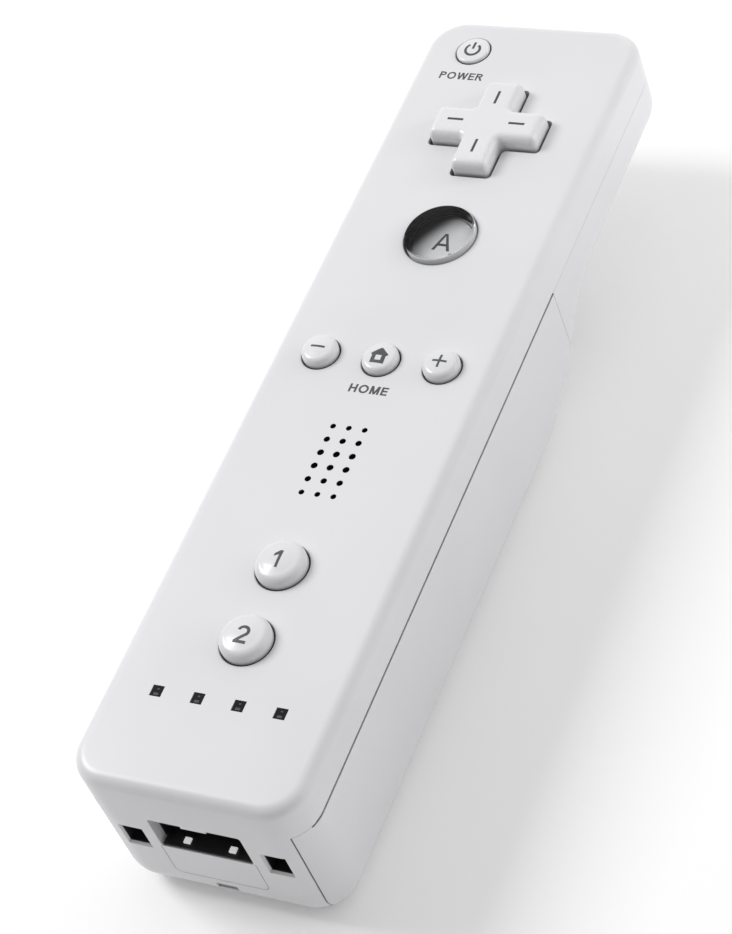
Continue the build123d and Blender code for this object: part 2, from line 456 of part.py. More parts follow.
chips = {
    "controller_chip": box(-4.5, 4.5, 22.5, 31.5, PCB_Z0 - 1.2, PCB_Z0 - 0.01),
    "memory_chip": box(-10.5, -6.5, 24.0, 29.0, PCB_Z0 - 1.1, PCB_Z0 - 0.01),
    "accelerometer": box(-2.5, 2.5, 36.5, 41.5, PCB_Z0 - 1.3, PCB_Z0 - 0.01),
    "crystal": box(6.6, 9.0, 22.8, 30.8, PCB_Z0 - 1.6, PCB_Z0 - 0.01),
    "radio_shield": box(-12.5, 1.5, 2.4, 17.2, PCB_Z0 - 1.9, PCB_Z0 - 0.01) - box(-12.2, 1.2, 2.7, 16.9, PCB_Z0 - 1.6, PCB_Z0 + 1),
    "radio_chip": box(-9.0, -3.0, 8.0, 14.0, PCB_Z0 - 1.1, PCB_Z0 - 0.01),
}
for n, s in chips.items():
    save(n, s)
caps = [cyl(x, y, PCB_Z1 + 0.01, PCB_Z1 + 3.4, 2.0) for (x, y) in ((-12.45, -13.4), (-12.45, -18.6), (12.45, -16.0))]
save("capacitors", Compound(children=caps))
smd = [box(x - 0.8, x + 0.8, y - 0.45, y + 0.45, PCB_Z0 - 0.6, PCB_Z0 - 0.01)
       for (x, y) in ((5.5, 16.0), (5.5, 13.5), (5.5, 11.0), (9.0, 16.0), (9.0, 13.5), (9.0, 11.0), (-6.0, 34.5), (-9.0, 34.5), (6.5, 34.0), (9.5, 34.0))]
save("passives", Compound(children=smd))
leds = [box(x - 0.8, x + 0.8, LED_Y - 0.5, LED_Y + 0.5, PCB_Z1 + 0.01, PCB_Z1 + 0.8) for x in LED_XS]
save("lamps", Compound(children=leds))
wins = []
for x in LED_XS:
    h = LED_SIZE / 2 - 0.04
    wins.append(box(x - h, x + h, LED_Y - h, LED_Y + h, 25.4, FACE_Z - 0.1) + box(x - 1.3, x + 1.3, LED_Y - 1.3, LED_Y + 1.3, 24.6, IN_Z - 0.04))
save("lamp_windows", Compound(children=wins))

# ---------------------------------------------------------------- speaker
spk = turned([(0, 22.6), (8.6, 22.6), (8.6, 23.4), (9.2, 23.6), (9.2, 24.9), (8.4, 24.9), (7.6, 24.6), (4.6, 24.2), (3.6, 24.8), (0, 25.1)], 0, SPK_Y)
save("speaker", spk)
save("speaker_gasket", cyl(0, SPK_Y, 24.92, GRILLE_Z - 0.32, 9.3) - cyl(0, SPK_Y, 24, 30, 8.3))
save("speaker_cloth", cyl(0, SPK_Y, GRILLE_Z - 0.3, GRILLE_Z - 0.04, 9.3))

# ---------------------------------------------------------------- rumble motor
save("rumble_motor", cyl_x(MOTOR_Y, MOTOR_Z, -9.5, 4.5, 5.0) + cyl_x(MOTOR_Y, MOTOR_Z, 4.4, 5.4, 2.0) + cyl_x(MOTOR_Y, MOTOR_Z, 5.3, 11.5, 0.75))
sleeve = box(-8.5, 3.5, MOTOR_Y - 6.2, MOTOR_Y + 6.2, 4.6, 14.2) - cyl_x(MOTOR_Y, MOTOR_Z, -20, 20, 5.02)
sleeve = sleeve & box(-20, 20, -BIG, BIG, 4.6, 12.6)
save("rumble_mount", sleeve)
weight = (cyl_x(MOTOR_Y, MOTOR_Z, 6.2, 11.2, 5.2) & box(0, 20, MOTOR_Y - 6, MOTOR_Y + 6, MOTOR_Z - 6, MOTOR_Z - 0.2)) + cyl_x(MOTOR_Y, MOTOR_Z, 6.2, 11.2, 2.0)
weight = weight - cyl_x(MOTOR_Y, MOTOR_Z, 0, 20, 0.8)
save("rumble_weight", weight)


# ---------------------------------------------------------------- cells and their contacts
def cell(x, y_minus, up):
    # up = +1: positive nub towards +Y
    c = cyl_y(x, CELL_Z, y_minus, y_minus + CELL_L, CELL_D / 2)
    c = fillet(c.edges().filter_by(GeomType.CIRCLE), 0.6)
    if up > 0:
        n = cyl_y(x, CELL_Z, y_minus + CELL_L - 0.1, y_minus + CELL_L + CELL_NUB, 2.7)
        m = cyl_y(x, CELL_Z, y_minus - 0.25, y_minus + 0.1, 5.0)
    else:
        n = cyl_y(x, CELL_Z, y_minus - CELL_NUB, y_minus + 0.1, 2.7)
        m = cyl_y(x, CELL_Z, y_minus + CELL_L - 0.1, y_minus + CELL_L + 0.25, 5.0)
    return c + n + m


# the bay is 57.2 long: nub end against its plate, spring at the other end
Y_LO, Y_HI = BAY_Y0 + 0.55, BAY_Y1 - 0.55
c1y = Y_HI - CELL_NUB - CELL_L - 0.02
c2y = Y_LO + CELL_NUB + 0.02
save("cell_1", cell(-CELL_X, c1y, 1))
save("cell_2", cell(CELL_X, c2y, -1))
front_plates = [box(x - 5.2, x + 5.2, Y_HI, BAY_Y1 - 0.05, 5.0, 16.5) for x in (-CELL_X, CELL_X)]
save("battery_plates", Compound(children=front_plates + [box(-13.0, 13.0, BAY_Y0 + 0.05, Y_LO, 5.0, 16.5)]))


def coil(radius, pitch, height, wire):
    path = Helix(pitch, height, radius)
    sec = Plane(origin=path @ 0, z_dir=path % 0) * Circle(wire)
    return sweep(sec, path=path, is_frenet=True)


def coil_y(x, y0, y1, radius, turns, wire):
    h = y1 - y0 - 2 * wire - 0.06
    c = coil(radius, h / turns, h, wire)
    return c.moved(Location((x, y0 + wire + 0.03, CELL_Z), (-90, 0, 0)))


spr = [coil_y(-CELL_X, Y_LO, c1y - 0.25, 3.6, 3.0, 0.4), coil_y(CELL_X, c2y + CELL_L + 0.25, Y_HI, 3.6, 3.0, 0.4)]
save("battery_springs", Compound(children=spr))

# ---------------------------------------------------------------- trigger on the underside
tw = TRIG_W / 2
outer = [(64.0, TRIG_Z + 1.2), (64.1, HEAD_Z + 0.4), (62.0, HEAD_Z - 0.5), (58.0, HEAD_Z - 1.2), (54.0, HEAD_Z - 2.2), (50.0, HEAD_Z - 3.8),
         (46.6, HEAD_Z - 5.8), (43.8, HEAD_Z - 8.0), (41.9, HEAD_Z - 9.0), (40.2, HEAD_Z - 8.6), (39.1, HEAD_Z - 6.9),
         (38.6, HEAD_Z - 4.2), (38.2, HEAD_Z - 1.0), (38.2, HEAD_Z + 3.0), (44.0, HEAD_Z + 3.0), (57.0, HEAD_Z + 3.0), (58.4, TRIG_Z + 2.0), (61.5, TRIG_Z + 2.6)]
sp = Spline(*[(0, a, b) for a, b in outer[1:12]])
ln = Polyline(*[(0, a, b) for a, b in outer[11:]], (0, outer[0][0], outer[0][1]), (0, outer[1][0], outer[1][1]))
trig = Pos(-tw, 0, 0) * extrude(make_face([sp] + list(ln.edges())), TRIG_W, dir=(1, 0, 0))
side_e = [e for e in trig.edges() if e.bounding_box().size.X < 1e-4 and e.bounding_box().min.Z < HEAD_Z - 3 and e.bounding_box().size.Z > 6]
trig = fillet(side_e, 1.4)
# hollow from above, with the hub for its pin left whole
trig = trig - prism_x([(56.5, HEAD_Z + 4), (56.5, HEAD_Z + 0.4), (50.0, HEAD_Z - 2.2), (46.0, HEAD_Z - 4.4), (42.8, HEAD_Z - 6.9), (41.2, HEAD_Z - 6.0),
                       (40.3, HEAD_Z - 2.0), (40.3, HEAD_Z + 4)], -tw + 1.7, tw - 1.7)
trig = trig - cyl_x(TRIG_Y, TRIG_Z, -20, 20, 1.06)
# stop lip behind the slot's edge and the spring's seat
trig = trig + box(-tw + 1.6, tw - 1.6, 46.8, 52.2, HEAD_Z - 0.6, HEAD_Z + 0.6)
trig = trig + cyl(0, 42.9, HEAD_Z - 7.0, 17.0, 0.9)
trig = trig + box(-tw + 1.6, tw - 1.6, 42.3, 43.5, HEAD_Z - 7.0, HEAD_Z + 1.0)
save("b_trigger", trig)
save("b_trigger_pin", cyl_x(TRIG_Y, TRIG_Z, -TRIG_W / 2 - 1.55, TRIG_W / 2 + 1.55, 1.0))
ts = coil(2.0, 1.95, 7.8, 0.25)
save("b_trigger_spring", ts.moved(Location((0, 49.5, HEAD_Z + 0.6 + 0.3))))
save("b_trigger_switch", box(-2.6, 2.6, 42.2, 45.6, PCB_Z0 - 1.1, PCB_Z0 - 0.01))

# ---------------------------------------------------------------- pairing button
syn = cyl(SYNC_X, SYNC_Y, 2.1, 3.4, 1.5) + cyl(SYNC_X, SYNC_Y, BELLY_IN + 0.06, 4.2, 2.1) + cyl(SYNC_X, SYNC_Y, 4.1, 19.0, 0.8)
save("sync_button", syn)
save("sync_switch", box(SYNC_X - 1.7, SYNC_X + 1.7, SYNC_Y - 1.7, SYNC_Y + 1.7, 19.75, PCB_Z0 - 0.01))


# ---------------------------------------------------------------- screws
def screw(x, y, z_head, z_tip):
    s = cyl(x, y, z_head, z_head + 1.3, 1.75) + cyl(x, y, z_head + 1.2, z_tip, 0.98)
    for a in (0, 60, 120):
        s = s - Pos(x, y, z_head) * Rot(0, 0, a) * Box(2.2, 0.45, 1.1)
    return s


scr = [screw(x, y, HEAD_Z + 1.8, 25.0) for (x, y) in SCREWS_HEAD] + [screw(x, y, 6.3, 25.0) for (x, y) in SCREWS_MID]
save("case_screws", Compound(children=scr))
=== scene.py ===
import math
import bpy
import bmesh
from mathutils import Matrix, Vector
from mathutils.geometry import delaunay_2d_cdt


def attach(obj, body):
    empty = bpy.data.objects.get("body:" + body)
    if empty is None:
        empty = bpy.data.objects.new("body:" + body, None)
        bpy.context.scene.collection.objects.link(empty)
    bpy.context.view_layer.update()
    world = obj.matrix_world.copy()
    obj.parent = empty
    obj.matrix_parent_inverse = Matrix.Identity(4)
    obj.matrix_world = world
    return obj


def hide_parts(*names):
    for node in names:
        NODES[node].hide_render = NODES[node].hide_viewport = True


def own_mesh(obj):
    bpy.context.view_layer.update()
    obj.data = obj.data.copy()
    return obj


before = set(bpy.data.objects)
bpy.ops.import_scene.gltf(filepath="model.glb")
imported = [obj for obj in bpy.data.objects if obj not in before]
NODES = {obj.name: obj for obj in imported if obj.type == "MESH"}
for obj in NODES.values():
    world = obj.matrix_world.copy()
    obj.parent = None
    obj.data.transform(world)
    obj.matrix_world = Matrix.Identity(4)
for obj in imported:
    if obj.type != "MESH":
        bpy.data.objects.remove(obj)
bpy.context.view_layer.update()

MM = 0.001
scene = bpy.context.scene


FACE_Z = 28.2                 # the front face, mm
DPAD_Y, A_Y = 49.6, 27.75
POWER = (-9.4, 66.9)
ROW_Y, ROW_X = 2.8, 10.0
ONE_Y, TWO_Y = -35.4, -48.3
LED_Y, LED_XS = -58.5, (-9.7, -3.23, 3.23, 9.7)


# ================================================================ camera
def camera():
    data = bpy.data.cameras.new("camera")
    data.lens = 109.2
    data.sensor_width = 36.0
    data.clip_start, data.clip_end = 0.01, 20.0
    cam = bpy.data.objects.new("camera", data)
    scene.collection.objects.link(cam)
    right = Vector((0.88892, 0.36414, -0.27790)).normalized()
    back = Vector((0.44076, -0.51471, 0.73539)).normalized()
    up = back.cross(right).normalized()
    right = up.cross(back)
    m = Matrix((right, up, back)).transposed().to_4x4()
    m.translation = (Vector((183.306, -224.507, 297.436 + FACE_Z)) + right * 0.27 - up * 0.15) * MM
    cam.matrix_world = m
    scene.camera = cam
    return cam


camera()


# ================================================================ node helpers
class Mat:
    """Small wrapper that builds a node material."""

    def __init__(self, name):
        self.m = bpy.data.materials.new(name)
        self.m.use_nodes = True
        self.t = self.m.node_tree
        self.b = self.t.nodes["Principled BSDF"]
        self.out = self.t.nodes["Material Output"]
        self._pos = None

    def node(self, kind, **props):
        n = self.t.nodes.new(kind)
        for k, v in props.items():
            setattr(n, k, v)
        return n

    def link(self, a, b):
        self.t.links.new(a, b)

    @property
    def pos(self):
        if self._pos is None:
            self._pos = self.node("ShaderNodeTexCoord").outputs["Object"]
        return self._pos

    def mapped(self, scale=(1, 1, 1), loc=(0, 0, 0), rot=(0, 0, 0)):
        n = self.node("ShaderNodeMapping")
        n.inputs["Scale"].default_value = scale
        n.inputs["Location"].default_value = loc
        n.inputs["Rotation"].default_value = rot
        self.link(self.pos, n.inputs["Vector"])
        return n.outputs[0]

    def noise(self, size_mm, detail=3.0, rough=0.5, distortion=0.0, vec=None, seed=0.0):
        n = self.node("ShaderNodeTexNoise", noise_dimensions="4D")
        n.inputs["Scale"].default_value = 1.0 / (size_mm * MM)
        n.inputs["Detail"].default_value = detail
        n.inputs["Roughness"].default_value = rough
        n.inputs["Distortion"].default_value = distortion
        n.inputs["W"].default_value = seed
        self.link(vec if vec is not None else self.pos, n.inputs["Vector"])
        return n.outputs["Fac"]

    def voronoi(self, size_mm, feature="F1", vec=None, out="Distance"):
        n = self.node("ShaderNodeTexVoronoi", feature=feature)
        n.inputs["Scale"].default_value = 1.0 / (size_mm * MM)
        self.link(vec if vec is not None else self.pos, n.inputs["Vector"])
        return n.outputs[out]

    def wave(self, size_mm, direction="X", distortion=0.0, vec=None, profile="SIN"):
        n = self.node("ShaderNodeTexWave", wave_type="BANDS", bands_direction=direction, wave_profile=profile)
        # one band per size_mm
        n.inputs["Scale"].default_value = (2 * math.pi / 20.0) / (size_mm * MM)
        n.inputs["Distortion"].default_value = distortion
        self.link(vec if vec is not None else self.pos, n.inputs["Vector"])
        return n.outputs["Fac"]

    def ramp(self, fac, lo, hi, a=0.0, b=1.0, smooth=True):
        n = self.node("ShaderNodeMapRange", clamp=True)
        if smooth:
            n.interpolation_type = "SMOOTHSTEP"
        n.inputs["From Min"].default_value = lo
        n.inputs["From Max"].default_value = hi
        n.inputs["To Min"].default_value = a
        n.inputs["To Max"].default_value = b
        self.link(fac, n.inputs["Value"])
        return n.outputs["Result"]

    def math(self, op, a, b=None, c=None):
        n = self.node("ShaderNodeMath", operation=op)
        for i, v in enumerate((a, b, c)):
            if v is None:
                continue
            if isinstance(v, (int, float)):
                n.inputs[i].default_value = v
            else:
                self.link(v, n.inputs[i])
        return n.outputs[0]

    def mix(self, fac, a, b, blend="MIX"):
        n = self.node("ShaderNodeMix", data_type="RGBA", blend_type=blend)
        for key, v in ((0, fac), (6, a), (7, b)):
            if isinstance(v, (int, float)):
                n.inputs[key].default_value = v
            elif isinstance(v, tuple):
                n.inputs[key].default_value = (*v, 1.0) if len(v) == 3 else v
            else:
                self.link(v, n.inputs[key])
        return n.outputs[2]

    def xyz(self, vec=None):
        n = self.node("ShaderNodeSeparateXYZ")
        self.link(vec if vec is not None else self.pos, n.inputs[0])
        return n.outputs[0], n.outputs[1], n.outputs[2]

    def radius(self, x, y):
        """Distance in mm from the vertical axis through (x, y) mm."""
        px, py, _ = self.xyz()
        dx = self.math("SUBTRACT", px, x * MM)
        dy = self.math("SUBTRACT", py, y * MM)
        r = self.math("SQRT", self.math("ADD", self.math("MULTIPLY", dx, dx), self.math("MULTIPLY", dy, dy)))
        return self.math("MULTIPLY", r, 1.0 / MM)

    def lean(self, x, y, k):
        """How far a point lies, in mm, towards the shaded far left of the part round (x, y)."""
        px, py, _ = self.xyz()
        a = self.math("MULTIPLY", self.math("SUBTRACT", px, x * MM), -0.82 * k / MM)
        b = self.math("MULTIPLY", self.math("SUBTRACT", py, y * MM), 0.57 * k / MM)
        return self.math("ADD", a, b)

    def edge(self, radius_mm, lo=0.02, hi=0.35, samples=4):
        """1 on worn convex and concave edges, 0 on flats."""
        bev = self.node("ShaderNodeBevel", samples=samples)
        bev.inputs["Radius"].default_value = radius_mm * MM
        geo = self.node("ShaderNodeNewGeometry")
        dot = self.node("ShaderNodeVectorMath", operation="DOT_PRODUCT")
        self.link(bev.outputs[0], dot.inputs[0])
        self.link(geo.outputs["Normal"], dot.inputs[1])
        inv = self.math("SUBTRACT", 1.0, dot.outputs["Value"])
        return self.ramp(inv, lo, hi)

    def openness(self, dist_mm, samples=6):
        """1 in the open, falling to 0 deep in gaps and holes."""
        ao = self.node("ShaderNodeAmbientOcclusion", samples=samples, only_local=False)
        ao.inputs["Distance"].default_value = dist_mm * MM
        return ao.outputs["AO"]

    def cavity(self, dist_mm, lo=0.35, hi=1.0, samples=6):
        """1 deep in gaps and holes, 0 in the open."""
        return self.ramp(self.openness(dist_mm, samples), lo, hi, 1.0, 0.0)

    def bump(self, layers, round_mm=0.0):
        """layers: (height socket, depth in mm). Chained bumps; the first starts from a softly rounded edge."""
        normal = None
        if round_mm:
            bev = self.node("ShaderNodeBevel", samples=4)
            bev.inputs["Radius"].default_value = round_mm * MM
            normal = bev.outputs[0]
        for h, depth in layers:
            n = self.node("ShaderNodeBump")
            n.inputs["Strength"].default_value = 1.0
            n.inputs["Distance"].default_value = depth * MM
            self.link(h, n.inputs["Height"])
            if normal is not None:
                self.link(normal, n.inputs["Normal"])
            normal = n.outputs[0]
        if normal is not None:
            self.link(normal, self.b.inputs["Normal"])

    def set(self, **kw):
        names = {"color": "Base Color", "rough": "Roughness", "metal": "Metallic", "ior": "IOR", "spec": "Specular IOR Level",
                 "coat": "Coat Weight", "coat_rough": "Coat Roughness", "trans": "Transmission Weight", "sheen": "Sheen Weight",
                 "sheen_rough": "Sheen Roughness", "aniso": "Anisotropic", "sss": "Subsurface Weight", "sss_scale": "Subsurface Scale",
                 "sheen_tint": "Sheen Tint"}
        for k, v in kw.items():
            s = self.b.inputs[names[k]]
            if isinstance(v, tuple):
                s.default_value = (*v, 1.0) if len(v) == 3 and k != "sss_radius" else v
            elif isinstance(v, (int, float)):
                s.default_value = v
            else:
                self.link(v, s)
        return self


def grey(v, warm=0.0):
    return (v * (1 + warm), v, v * (1 - warm))


# ================================================================ materials
def moulded(name, tone, rough, grain=0.0016, edge_mm=0.16, gloss_edge=0.06, gap_shade=0.45, seed=0.0, round_mm=0.07, coat=0.0, shade_free=None, holes=None):
    """Moulded plastic: cloudy tone, fine tool grain, handling marks, polished edges, and painted shade in the gaps
    and holes.
    """
    m = Mat(name)
    cloud = m.noise(38, 2.0, 0.5, seed=seed)
    patch = m.noise(6.5, 4.0, 0.6, seed=seed + 3)
    speck = m.noise(0.12, 2.0, 0.7, seed=seed + 7)
    lo = tuple(c * 0.965 for c in tone)
    hi = tuple(min(1.0, c * 1.02) for c in tone)
    col = m.mix(m.ramp(cloud, 0.3, 0.7), lo, hi)
    col = m.mix(m.ramp(patch, 0.62, 0.8, 0.0, 0.18), col, tuple(c * 0.955 for c in tone))
    col = m.mix(m.ramp(speck, 0.66, 0.78, 0.0, 0.16), col, tuple(c * 0.88 for c in tone))
    edge = m.edge(edge_mm)
    col = m.mix(m.math("MULTIPLY", edge, 0.35), col, tuple(min(1.0, c * 1.07) for c in tone))
    # painted shade: the colour turns greyer where ambient occlusion finds gaps and seams
    space = m.openness(0.8, 8)
    col = m.mix(m.ramp(space, 0.35, 1.0, gap_shade, 0.0), col, tuple(c * 0.30 for c in tone))
    # painted shade: deep gaps and holes are painted nearly black
    deep = m.ramp(space, 0.10, 0.46, 0.97, 0.0)
    if shade_free:
        # the wall round the clear button is kept out of the painted shade and stays bright
        deep = m.math("MULTIPLY", deep, m.ramp(m.radius(shade_free[0], shade_free[1]), shade_free[2], shade_free[2] + 0.1))
    if holes:
        # painted shade on the walls of the speaker's holes, below the face
        _, _, z = m.xyz()
        low = m.ramp(z, (FACE_Z - 0.10) * MM, (FACE_Z - 0.05) * MM, 1.0, 0.0)
        deep = m.math("MAXIMUM", deep, m.math("MULTIPLY", low, m.ramp(m.radius(holes[0], holes[1]), holes[2], holes[2] + 0.1, 1.0, 0.0)))
    col = m.mix(deep, col, tuple(c * 0.015 for c in tone))
    smear = m.noise(11, 5.0, 0.62, 0.8, vec=m.mapped((1.0, 0.45, 1.0), rot=(0, 0, 0.5)), seed=seed + 11)
    r = m.ramp(smear, 0.35, 0.7, rough - 0.035, rough + 0.05)
    r = m.math("ADD", r, m.ramp(speck, 0.4, 0.7, 0.0, 0.03))
    r = m.math("SUBTRACT", r, m.math("MULTIPLY", edge, gloss_edge))
    m.set(color=col, rough=r, ior=1.49, spec=0.5)
    if coat:
        m.set(coat=coat, coat_rough=0.08)
    grainy = m.noise(0.22, 2.0, 0.6, seed=seed + 5)
    orange = m.noise(2.6, 2.0, 0.5, seed=seed + 9)
    m.bump([(orange, 0.004), (grainy, grain)], round_mm)
    return m.m


SHELL_TONE = (0.735, 0.735, 0.752)
BUTTON_TONE = (0.755, 0.755, 0.768)


def lens_material():
    """Clear acrylic whose side below the face carries painted shade: black on the far left, pale on the near right.
    """
    m = Mat("lens_clear")
    m.set(color=(0.985, 0.99, 0.99), rough=0.03, ior=1.42, trans=1.0, spec=0.10)
    m.b.inputs["Specular Tint"].default_value = (0.2, 0.2, 0.2, 1.0)
    scratch = m.noise(0.5, 4.0, 0.6, 0.4, vec=m.mapped((1.0, 0.06, 1.0), rot=(0, 0, 0.7)), seed=2.0)
    fine = m.noise(2.8, 3.0, 0.5, seed=4.0)
    m.set(rough=m.ramp(fine, 0.35, 0.75, 0.015, 0.06))
    m.bump([(fine, 0.003), (m.ramp(scratch, 0.62, 0.7), 0.0006)])
    # painted shade: the lens's side wall below its top edge, near black on the far left and pale on the near right
    shade_wall = m.node("ShaderNodeBsdfPrincipled")
    m.link(m.mix(m.ramp(m.lean(0, A_Y, 1.0), -0.4, 1.6), (0.62, 0.62, 0.635), (0.006, 0.006, 0.007)), shade_wall.inputs["Base Color"])
    shade_wall.inputs["Specular IOR Level"].default_value = 0.0
    m.link(m.ramp(fine, 0.3, 0.7, 0.6, 0.8), shade_wall.inputs["Roughness"])
    _, _, z = m.xyz()
    r = m.radius(0, A_Y)
    side = m.math("MULTIPLY", m.ramp(r, 5.31, 5.34), m.ramp(z, (FACE_Z + 0.80) * MM, (FACE_Z + 0.90) * MM, 1.0, 0.0))
    mixer = m.node("ShaderNodeMixShader")
    m.link(side, mixer.inputs[0])
    m.link(m.b.outputs[0], mixer.inputs[1])
    m.link(shade_wall.outputs[0], mixer.inputs[2])
    m.link(mixer.outputs[0], m.out.inputs["Surface"])
    return m.m


def base_material():
    """White plunger under the lens with painted shade: greyer towards the rim, a deep grey ring at a step near its
    edge with a pale rim outside it, and the far left painted black as shade.
    """
    m = Mat("plunger_white")
    r = m.radius(0, A_Y)
    lean = m.lean(0, A_Y, 1.0)
    cloud = m.noise(4.0, 3.0, 0.5, seed=1.0)
    speck = m.noise(0.12, 2.0, 0.7, seed=7)
    col = m.mix(m.ramp(cloud, 0.3, 0.7), (0.90, 0.90, 0.91), (0.94, 0.94, 0.945))
    # painted shade: greyer towards the rim
    col = m.mix(m.ramp(r, 2.6, 4.8, 0.0, 0.45), col, (0.60, 0.60, 0.615))
    # painted shade: a deep grey ring at the step near the edge; outside it the rim is pale again
    band = m.math("MULTIPLY", m.ramp(r, 4.55, 4.65), m.ramp(r, 4.78, 4.88, 1.0, 0.0))
    col = m.mix(m.ramp(r, 4.78, 4.88), col, (0.88, 0.88, 0.89))
    col = m.mix(m.math("MULTIPLY", band, 0.8), col, (0.22, 0.22, 0.23))
    # painted shade: the far left of the plunger fades to grey and then to black
    col = m.mix(m.ramp(lean, -0.8, 3.4, 0.0, 0.80), col, (0.18, 0.18, 0.19))
    col = m.mix(m.ramp(lean, 1.6, 4.0, 0.0, 0.98), col, (0.006, 0.006, 0.007))
    col = m.mix(m.ramp(speck, 0.66, 0.78, 0.0, 0.2), col, (0.7, 0.7, 0.7))
    m.set(color=col, rough=m.ramp(cloud, 0.3, 0.7, 0.34, 0.44), ior=1.49)
    m.bump([(m.noise(0.3, 2.0, 0.5), 0.0015)], 0.08)
    return m.m


def ink(name, tone=0.072):
    """Printed ink: slightly uneven body, a touch rougher than the plastic."""
    m = Mat(name)
    n = m.noise(0.35, 3.0, 0.6, seed=3)
    f = m.noise(0.07, 2.0, 0.6, seed=5)
    col = m.mix(m.ramp(n, 0.3, 0.75), grey(tone * 0.9, -0.03), grey(tone * 1.15, -0.03))
    col = m.mix(m.ramp(f, 0.62, 0.74, 0.0, 0.35), col, grey(tone * 1.9, -0.03))
    m.set(color=col, rough=m.ramp(n, 0.3, 0.7, 0.42, 0.58), ior=1.48)
    m.bump([(f, 0.0012)])
    return m.m


def smoke(name, tone=0.012, rough=0.08):
    """Polished smoke plastic with fine hairlines and a few specks of dust."""
    m = Mat(name)
    n = m.noise(5, 3.0, 0.5, seed=1)
    hair = m.noise(0.6, 4.0, 0.6, 0.3, vec=m.mapped((1.0, 1.0, 0.05), rot=(0.3, 0.2, 0)), seed=2)
    dust = m.noise(0.25, 2.0, 0.6, seed=9)
    col = m.mix(m.ramp(n, 0.3, 0.7), (tone * 1.15, tone * 0.92, tone * 0.98), (tone * 1.5, tone * 1.05, tone * 1.1))
    col = m.mix(m.ramp(dust, 0.72, 0.8, 0.0, 0.25), col, (0.16, 0.16, 0.16))
    r = m.math("ADD", m.ramp(n, 0.3, 0.7, rough, rough + 0.06), m.ramp(hair, 0.62, 0.72, 0.0, 0.12))
    m.set(color=col, rough=r, ior=1.52, coat=0.35, coat_rough=0.04)
    m.bump([(m.ramp(hair, 0.6, 0.72), 0.0006), (n, 0.004)], 0.08)
    return m.m


def black_plastic():
    m = Mat("black_moulded")
    n = m.noise(2.2, 3.0, 0.55, seed=1)
    g = m.noise(0.16, 2.0, 0.6, seed=4)
    e = m.edge(0.15)
    col = m.mix(m.ramp(n, 0.3, 0.7), grey(0.010), grey(0.018))
    col = m.mix(m.math("MULTIPLY", e, 0.5), col, grey(0.05))
    col = m.mix(m.ramp(g, 0.68, 0.8, 0.0, 0.3), col, grey(0.06))
    m.set(color=col, rough=m.ramp(n, 0.3, 0.7, 0.38, 0.55), ior=1.5)
    m.bump([(g, 0.003), (n, 0.004)], 0.06)
    return m.m


def metal(name, tone, rough=0.26, brushed=(1.0, 1.0, 1.0), tarnish=(0.30, 0.27, 0.23), amount=0.35):
    m = Mat(name)
    n = m.noise(2.5, 4.0, 0.6, seed=2)
    line = m.noise(0.35, 4.0, 0.65, vec=m.mapped(brushed), seed=6)
    e = m.edge(0.12)
    col = m.mix(m.ramp(line, 0.3, 0.7), tuple(c * 0.86 for c in tone), tone)
    col = m.mix(m.ramp(n, 0.52, 0.78, 0.0, amount), col, tarnish)
    col = m.mix(m.math("MULTIPLY", e, 0.5), col, tuple(min(1, c * 1.18) for c in tone))
    r = m.math("ADD", m.ramp(line, 0.3, 0.7, rough - 0.06, rough + 0.08), m.ramp(n, 0.5, 0.8, 0.0, 0.14))
    m.set(color=col, rough=r, metal=1.0)
    m.bump([(line, 0.0018), (n, 0.004)], 0.05)
    return m.m


def silicone():
    m = Mat("silicone_grey")
    n = m.noise(5, 3.0, 0.5, seed=2)
    g = m.noise(0.18, 2.0, 0.6, seed=3)
    col = m.mix(m.ramp(n, 0.3, 0.7), (0.27, 0.28, 0.30), (0.33, 0.34, 0.36))
    # painted shade: greyer deep in the rubber's gaps and hollows
    col = m.mix(m.cavity(0.8), col, (0.16, 0.16, 0.17))
    m.set(color=col, rough=m.ramp(g, 0.3, 0.7, 0.62, 0.78), ior=1.41, sheen=0.25, sheen_rough=0.5, sss=0.05, sss_scale=0.5 * MM)
    m.bump([(g, 0.003), (n, 0.006)], 0.08)
    return m.m


def board():
    """Green solder mask with copper tracks showing through it as slightly lighter raised lines."""
    m = Mat("circuit_board")
    x, y, z = m.xyz()
    a = m.wave(1.5, "X", 0.0, vec=m.mapped((1, 1, 1), rot=(0, 0, 0.0)))
    b = m.wave(1.7, "Y")
    zone = m.voronoi(9.0, out="Color")
    sep = m.node("ShaderNodeSeparateColor")
    m.link(zone, sep.inputs[0])
    pick = m.ramp(sep.outputs[0], 0.48, 0.52)
    tr = m.math("ADD", m.math("MULTIPLY", m.ramp(a, 0.72, 0.8), pick),
                m.math("MULTIPLY", m.ramp(b, 0.72, 0.8), m.math("SUBTRACT", 1.0, pick)))
    n = m.noise(6, 3.0, 0.5)
    col = m.mix(m.ramp(n, 0.3, 0.7), (0.012, 0.085, 0.035), (0.018, 0.105, 0.045))
    col = m.mix(m.math("MULTIPLY", tr, 0.75), col, (0.035, 0.19, 0.08))
    pads = m.ramp(m.voronoi(2.6), 0.10, 0.13, 1.0, 0.0)
    col = m.mix(m.math("MULTIPLY", pads, 0.8), col, (0.60, 0.56, 0.42))
    m.set(color=col, rough=m.ramp(n, 0.3, 0.7, 0.24, 0.36), ior=1.5, metal=m.math("MULTIPLY", pads, 0.6))
    m.bump([(tr, 0.02), (m.noise(0.2, 2.0, 0.6), 0.003)], 0.05)
    return m.m


def cloth():
    m = Mat("speaker_mesh")
    a = m.wave(0.22, "X")
    b = m.wave(0.22, "Y")
    w = m.math("MAXIMUM", a, b)
    n = m.noise(1.5, 3.0, 0.6)
    col = m.mix(w, grey(0.002), grey(0.009))
    col = m.mix(m.ramp(n, 0.55, 0.8, 0.0, 0.3), col, grey(0.016))
    m.set(color=col, rough=m.ramp(n, 0.3, 0.7, 0.8, 0.95), sheen=0.3, sheen_rough=0.6)
    m.bump([(w, 0.05)])
    return m.m


